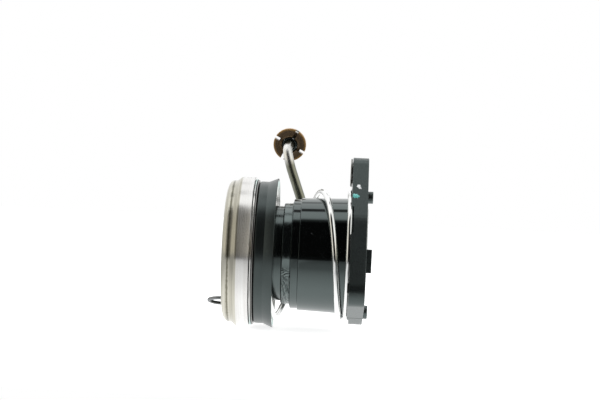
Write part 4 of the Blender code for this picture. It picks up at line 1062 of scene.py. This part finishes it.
# %% Sleeve, spigot and its seal
sleeve_end = 4.7 * MM
sleeve_ring = turned("connector_sleeve_moulded", rounded([
    (sleeve_end, pipe_room, 0.1 * MM), (sleeve_end, pipe_room + MM, 0.1 * MM),
    (GAP, pipe_room + MM, 0.2 * MM), (GAP, pipe_room, 0.2 * MM),
], 2), 64)
dressed(moved(sleeve_ring, on_pipe), rubber, HOUSING, "seal_rubber", "connector_sleeve")
tail_start, collar_start, nose_start, nose_end = mm(5.0, 9.3, 12.3, 21.8)
groove_start, groove_end = mm(16.0, 18.1)
tail, thick, slim, groove_floor, flow_bore = mm(4.0, 6.0, 5.0, 3.7, 1.7)
pipe_end = 12.7 * MM
spigot = turned("connector_spigot_turned", rounded([
    (tail_start, pipe_room, 0), (tail_start, tail, 0), (collar_start, tail, 0),
    (collar_start, thick, 0.3 * MM), (nose_start, thick, 0.3 * MM), (nose_start, slim, 0.2 * MM),
    (groove_start, slim, 0.15 * MM), (groove_start, groove_floor, 0.2 * MM),
    (groove_end, groove_floor, 0.2 * MM), (groove_end, slim, 0.15 * MM), (nose_end, slim, 0.9 * MM),
    (nose_end, flow_bore, 0.2 * MM), (pipe_end, flow_bore, 0), (pipe_end, pipe_room, 0),
], 3), 96)
dressed(moved(spigot, on_pipe), plating, HOUSING, "pipe_olive", "connector_spigot")
seal_section = arc(((groove_start + groove_end) / 2, 4.75 * MM), small_seal, 0, 360, 16)[:-1]
seal_ring = turned("connector_seal_moulded", seal_section, 96)
dressed(moved(seal_ring, on_pipe), rubber, HOUSING, "seal_rubber", "connector_seal")


# %% [markdown]
# ## Solids that stay
# The balls, their cage and the inner seals are hidden behind the pieces above. Their solids are right as they
# are, so they only get a finish.

# %% Finishes of the hidden pieces
cage_nylon, tree = shader("cage_nylon", (0.2, 0.11, 0.04), 0.0, 0.4)
cage_clouds = noise(tree, place_on(tree), 350.0)
use(cage_nylon, Base_Color=blended(tree, cage_clouds, (0.15, 0.08, 0.025), (0.24, 0.13, 0.05)))
ball_steel = plain_steel("ball_steel", (0.8, 0.8, 0.8), 0.12)
kept = {"ball_cage": cage_nylon, "guide_tube_seal": rubber, "piston_seal": rubber, "port_seal": rubber,
        "stop_ring": steel}
for name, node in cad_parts.items():
    finish = ball_steel if name.startswith("ball_") and name != "ball_cage" else kept.get(name)
    if finish:
        node.data.materials.clear()
        node.data.materials.append(finish)
print("solids that stay:", sum(not node.hide_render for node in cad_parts.values()))


# %% [markdown]
# ## Floor, light and camera
# The photograph has a white ground that runs out of view, a bright ceiling and back, and a dark room in
# front, where the camera stands. The black band along the barrel is that room. Plain light comes from the
# world and three lamps, and white ground is shown to the camera. What a shiny surface mirrors is a room of
# its own: bright above, behind and below, dark in front, with two thin dark seams in the ceiling.

# %% Floor
def ray_kinds(tree):
    """Whether a ray comes from the camera, and whether it was mirrored or went through glass."""
    rays = add(tree, "ShaderNodeLightPath").outputs
    return rays["Is Camera Ray"], plus(tree, rays["Is Glossy Ray"], rays["Is Transmission Ray"], clamp=True)


bpy.ops.object.select_all(action="DESELECT")
bpy.ops.mesh.primitive_plane_add(size=1.0, location=(0, 0, 0))
floor = bpy.context.object
floor.name = "floor"
floor_z = -37.45 * MM
floor_front_y = -0.26
floor_size = 4.0
moved(floor, Matrix.Translation((0, floor_front_y + floor_size / 2, floor_z)) @ Matrix.Scale(floor_size, 4))
print("floor at", floor_z)

# %% White ground
# In a mirror the ground glows dim near its front edge and brighter under the part; this glow is painted
# reflection. On the bearing's side a bright patch of glow stands for a card, and its edge gives the bearing's
# band its sharp lower half.
ground = bpy.data.materials.new("white_ground")
ground.use_nodes = True
tree = ground.node_tree
tree.nodes.clear()
from_camera, mirrored = ray_kinds(tree)
x, y = along_axis(tree, "X"), along_axis(tree, "Y")
dim_y, bright_y = -0.09, -0.03
fall_off = plus(tree, ramp(tree, y, floor_front_y, dim_y, 0.1, 0.4),
                ramp(tree, y, dim_y, bright_y, 0.0, 0.85))
card_glow = times(tree, ramp(tree, x, -0.034, -0.056, 0.0, 0.9), ramp(tree, y, -0.23, -0.21))
fall_off = math_node(tree, "MAXIMUM", fall_off, card_glow)
# The glow is halved towards the left: painted shade.
fall_off = times(tree, fall_off, ramp(tree, x, -0.08, -0.16, 1.0, 0.5))
shown = plus(tree, times(tree, from_camera, 0.8), times(tree, mirrored, fall_off))
matt = add(tree, "ShaderNodeBsdfDiffuse",
           Color=blended(tree, mirrored, (0.8, 0.8, 0.8), (0.1, 0.1, 0.1)))
glow = add(tree, "ShaderNodeEmission", Color=(1.0, 1.0, 1.0, 1.0), Strength=shown)
both = add(tree, "ShaderNodeAddShader", i0=matt.outputs[0], i1=glow.outputs[0])
add(tree, "ShaderNodeOutputMaterial", Surface=both.outputs[0])
floor.data.materials.append(ground)

# %% The room that shiny surfaces mirror
room_levels = (
    (-180, 0.62), (-165, 0.8), (-120, 1.0), (-50, 1.0), (-24, 0.4), (-8, 0.02), (0, 0.005), (70, 0.005),
    (76, 0.1), (81, 0.9), (86, 1.0), (161, 0.85), (180, 0.7),
)
seam_levels = (
    (-180, 1.0), (98, 1.0), (101, 0.1), (107, 0.1), (110, 1.0), (128, 1.0), (131, 0.5), (135, 0.5),
    (138, 1.0), (180, 1.0),
)


def levels(tree, value, table):
    """A brightness for each step of a value, with straight lines between."""
    made = add(tree, "ShaderNodeValToRGB", Fac=value)
    stops = made.color_ramp.elements
    stops.remove(stops[-1])
    for i, (angle, level) in enumerate(table):
        place = (angle + 180) / 360
        stop = stops[0] if i == 0 else stops.new(place)
        stop.position = place
        stop.color = (level, level, level, 1.0)
    return made.outputs[0]


world = bpy.data.worlds.new("studio")
bpy.context.scene.world = world
world.use_nodes = True
tree = world.node_tree
tree.nodes.clear()
from_camera, mirrored = ray_kinds(tree)
to_x, to_y, to_z = add(tree, "ShaderNodeSeparateXYZ",
                       Vector=add(tree, "ShaderNodeTexCoord").outputs["Generated"]).outputs
height = math_node(tree, "ARCTAN2", to_z, times(tree, to_y, -1.0))
turn = plus(tree, math_node(tree, "DIVIDE", height, 2 * math.pi), 0.5)
room = levels(tree, turn, room_levels)
middle_strip = ramp(tree, math_node(tree, "ABSOLUTE", to_x), 0.2, 0.12)
seams = blended(tree, middle_strip, (1.0, 1.0, 1.0), levels(tree, turn, seam_levels))
room = add(tree, "ShaderNodeMix", {"data_type": "RGBA", "blend_type": "MULTIPLY"}, Factor=1.0, i6=room,
           i7=seams).outputs[2]
left_side = ramp(tree, to_x, -0.55, -0.9)
right_side = ramp(tree, plus(tree, to_x, times(tree, to_z, 0.45)), 0.5, 0.78)
right_front = blended(tree, ramp(tree, to_z, 0.15, 0.6), (0.78, 0.72, 0.6), (0.84, 0.84, 0.82))
right_wall = blended(tree, ramp(tree, to_y, 0.0, 0.5), right_front, (0.4, 0.41, 0.41))
left_wall = blended(tree, ramp(tree, to_y, 0.0, 0.4), (0.82, 0.78, 0.69), (0.64, 0.63, 0.59))
room = blended(tree, left_side, room, left_wall)
room = blended(tree, right_side, room, right_wall)
reflected = add(tree, "ShaderNodeBackground", Color=room, Strength=1.35)
plain = add(tree, "ShaderNodeBackground", Color=(0.98, 1.0, 1.0, 1.0), Strength=0.55)
white = add(tree, "ShaderNodeBackground", Color=(1.0, 1.0, 1.0, 1.0), Strength=1.0)
lit = add(tree, "ShaderNodeMixShader", i0=mirrored, i1=plain.outputs[0], i2=reflected.outputs[0])
shown = add(tree, "ShaderNodeMixShader", i0=from_camera, i1=lit.outputs[0], i2=white.outputs[0])
add(tree, "ShaderNodeOutputWorld", Surface=shown.outputs[0])
print("steps of the room's brightness:", len(room_levels))


# %% [markdown]
# ## Lamps and camera
# Square area lamps shine on matt surfaces and don't show in shiny ones. The camera stands where the
# photograph was taken from: 725 mm away, turned by one degree and rolled by nearly three.

# %% Lamps
middle = Vector((-0.035, 0.0, 0.0))
lamps = {
    "ceiling_light": ((-0.035, 0.35, 0.75), 0.7, 5.0),
    "left_light": ((-0.8, -0.15, 0.25), 0.4, 1.2),
    "right_light": ((0.7, -0.2, 0.3), 0.4, 1.0),
}
for name, (place, width, watts) in lamps.items():
    bpy.ops.object.light_add(type="AREA", location=place)
    lamp = bpy.context.object
    lamp.name = name
    lamp.visible_glossy = False
    lamp.data.shape = "SQUARE"
    lamp.data.size = width
    lamp.data.energy = watts
    lamp.rotation_euler = (middle - Vector(place)).to_track_quat("-Z", "Y").to_euler()
print("lamps:", len(lamps))

# %% Camera
focal_px = 1450.0
photo_width = 600.0
sensor = 36.0
roll_angle = math.radians(2.7)
yaw = math.radians(1.35)
distance = 725.0 * MM
view_direction = Vector((-math.sin(yaw), math.cos(yaw), 0))
level = Vector((math.cos(yaw), math.sin(yaw), 0))
upright = Vector((0, 0, 1))
right = level * math.cos(roll_angle) + upright * math.sin(roll_angle)
up = upright * math.cos(roll_angle) - level * math.sin(roll_angle)
spot = Vector((-32.3 * MM, 0, 0)) + up * 27.0 * MM - view_direction * distance
bpy.ops.object.camera_add(location=spot)
camera = bpy.context.object
camera.matrix_world = Matrix((right, up, -view_direction)).transposed().to_4x4()
camera.matrix_world.translation = spot
camera.data.sensor_width = sensor
camera.data.lens = sensor * focal_px / photo_width
camera.data.clip_end = 20.0
bpy.context.scene.camera = camera
bpy.context.scene.view_settings.view_transform = "Standard"
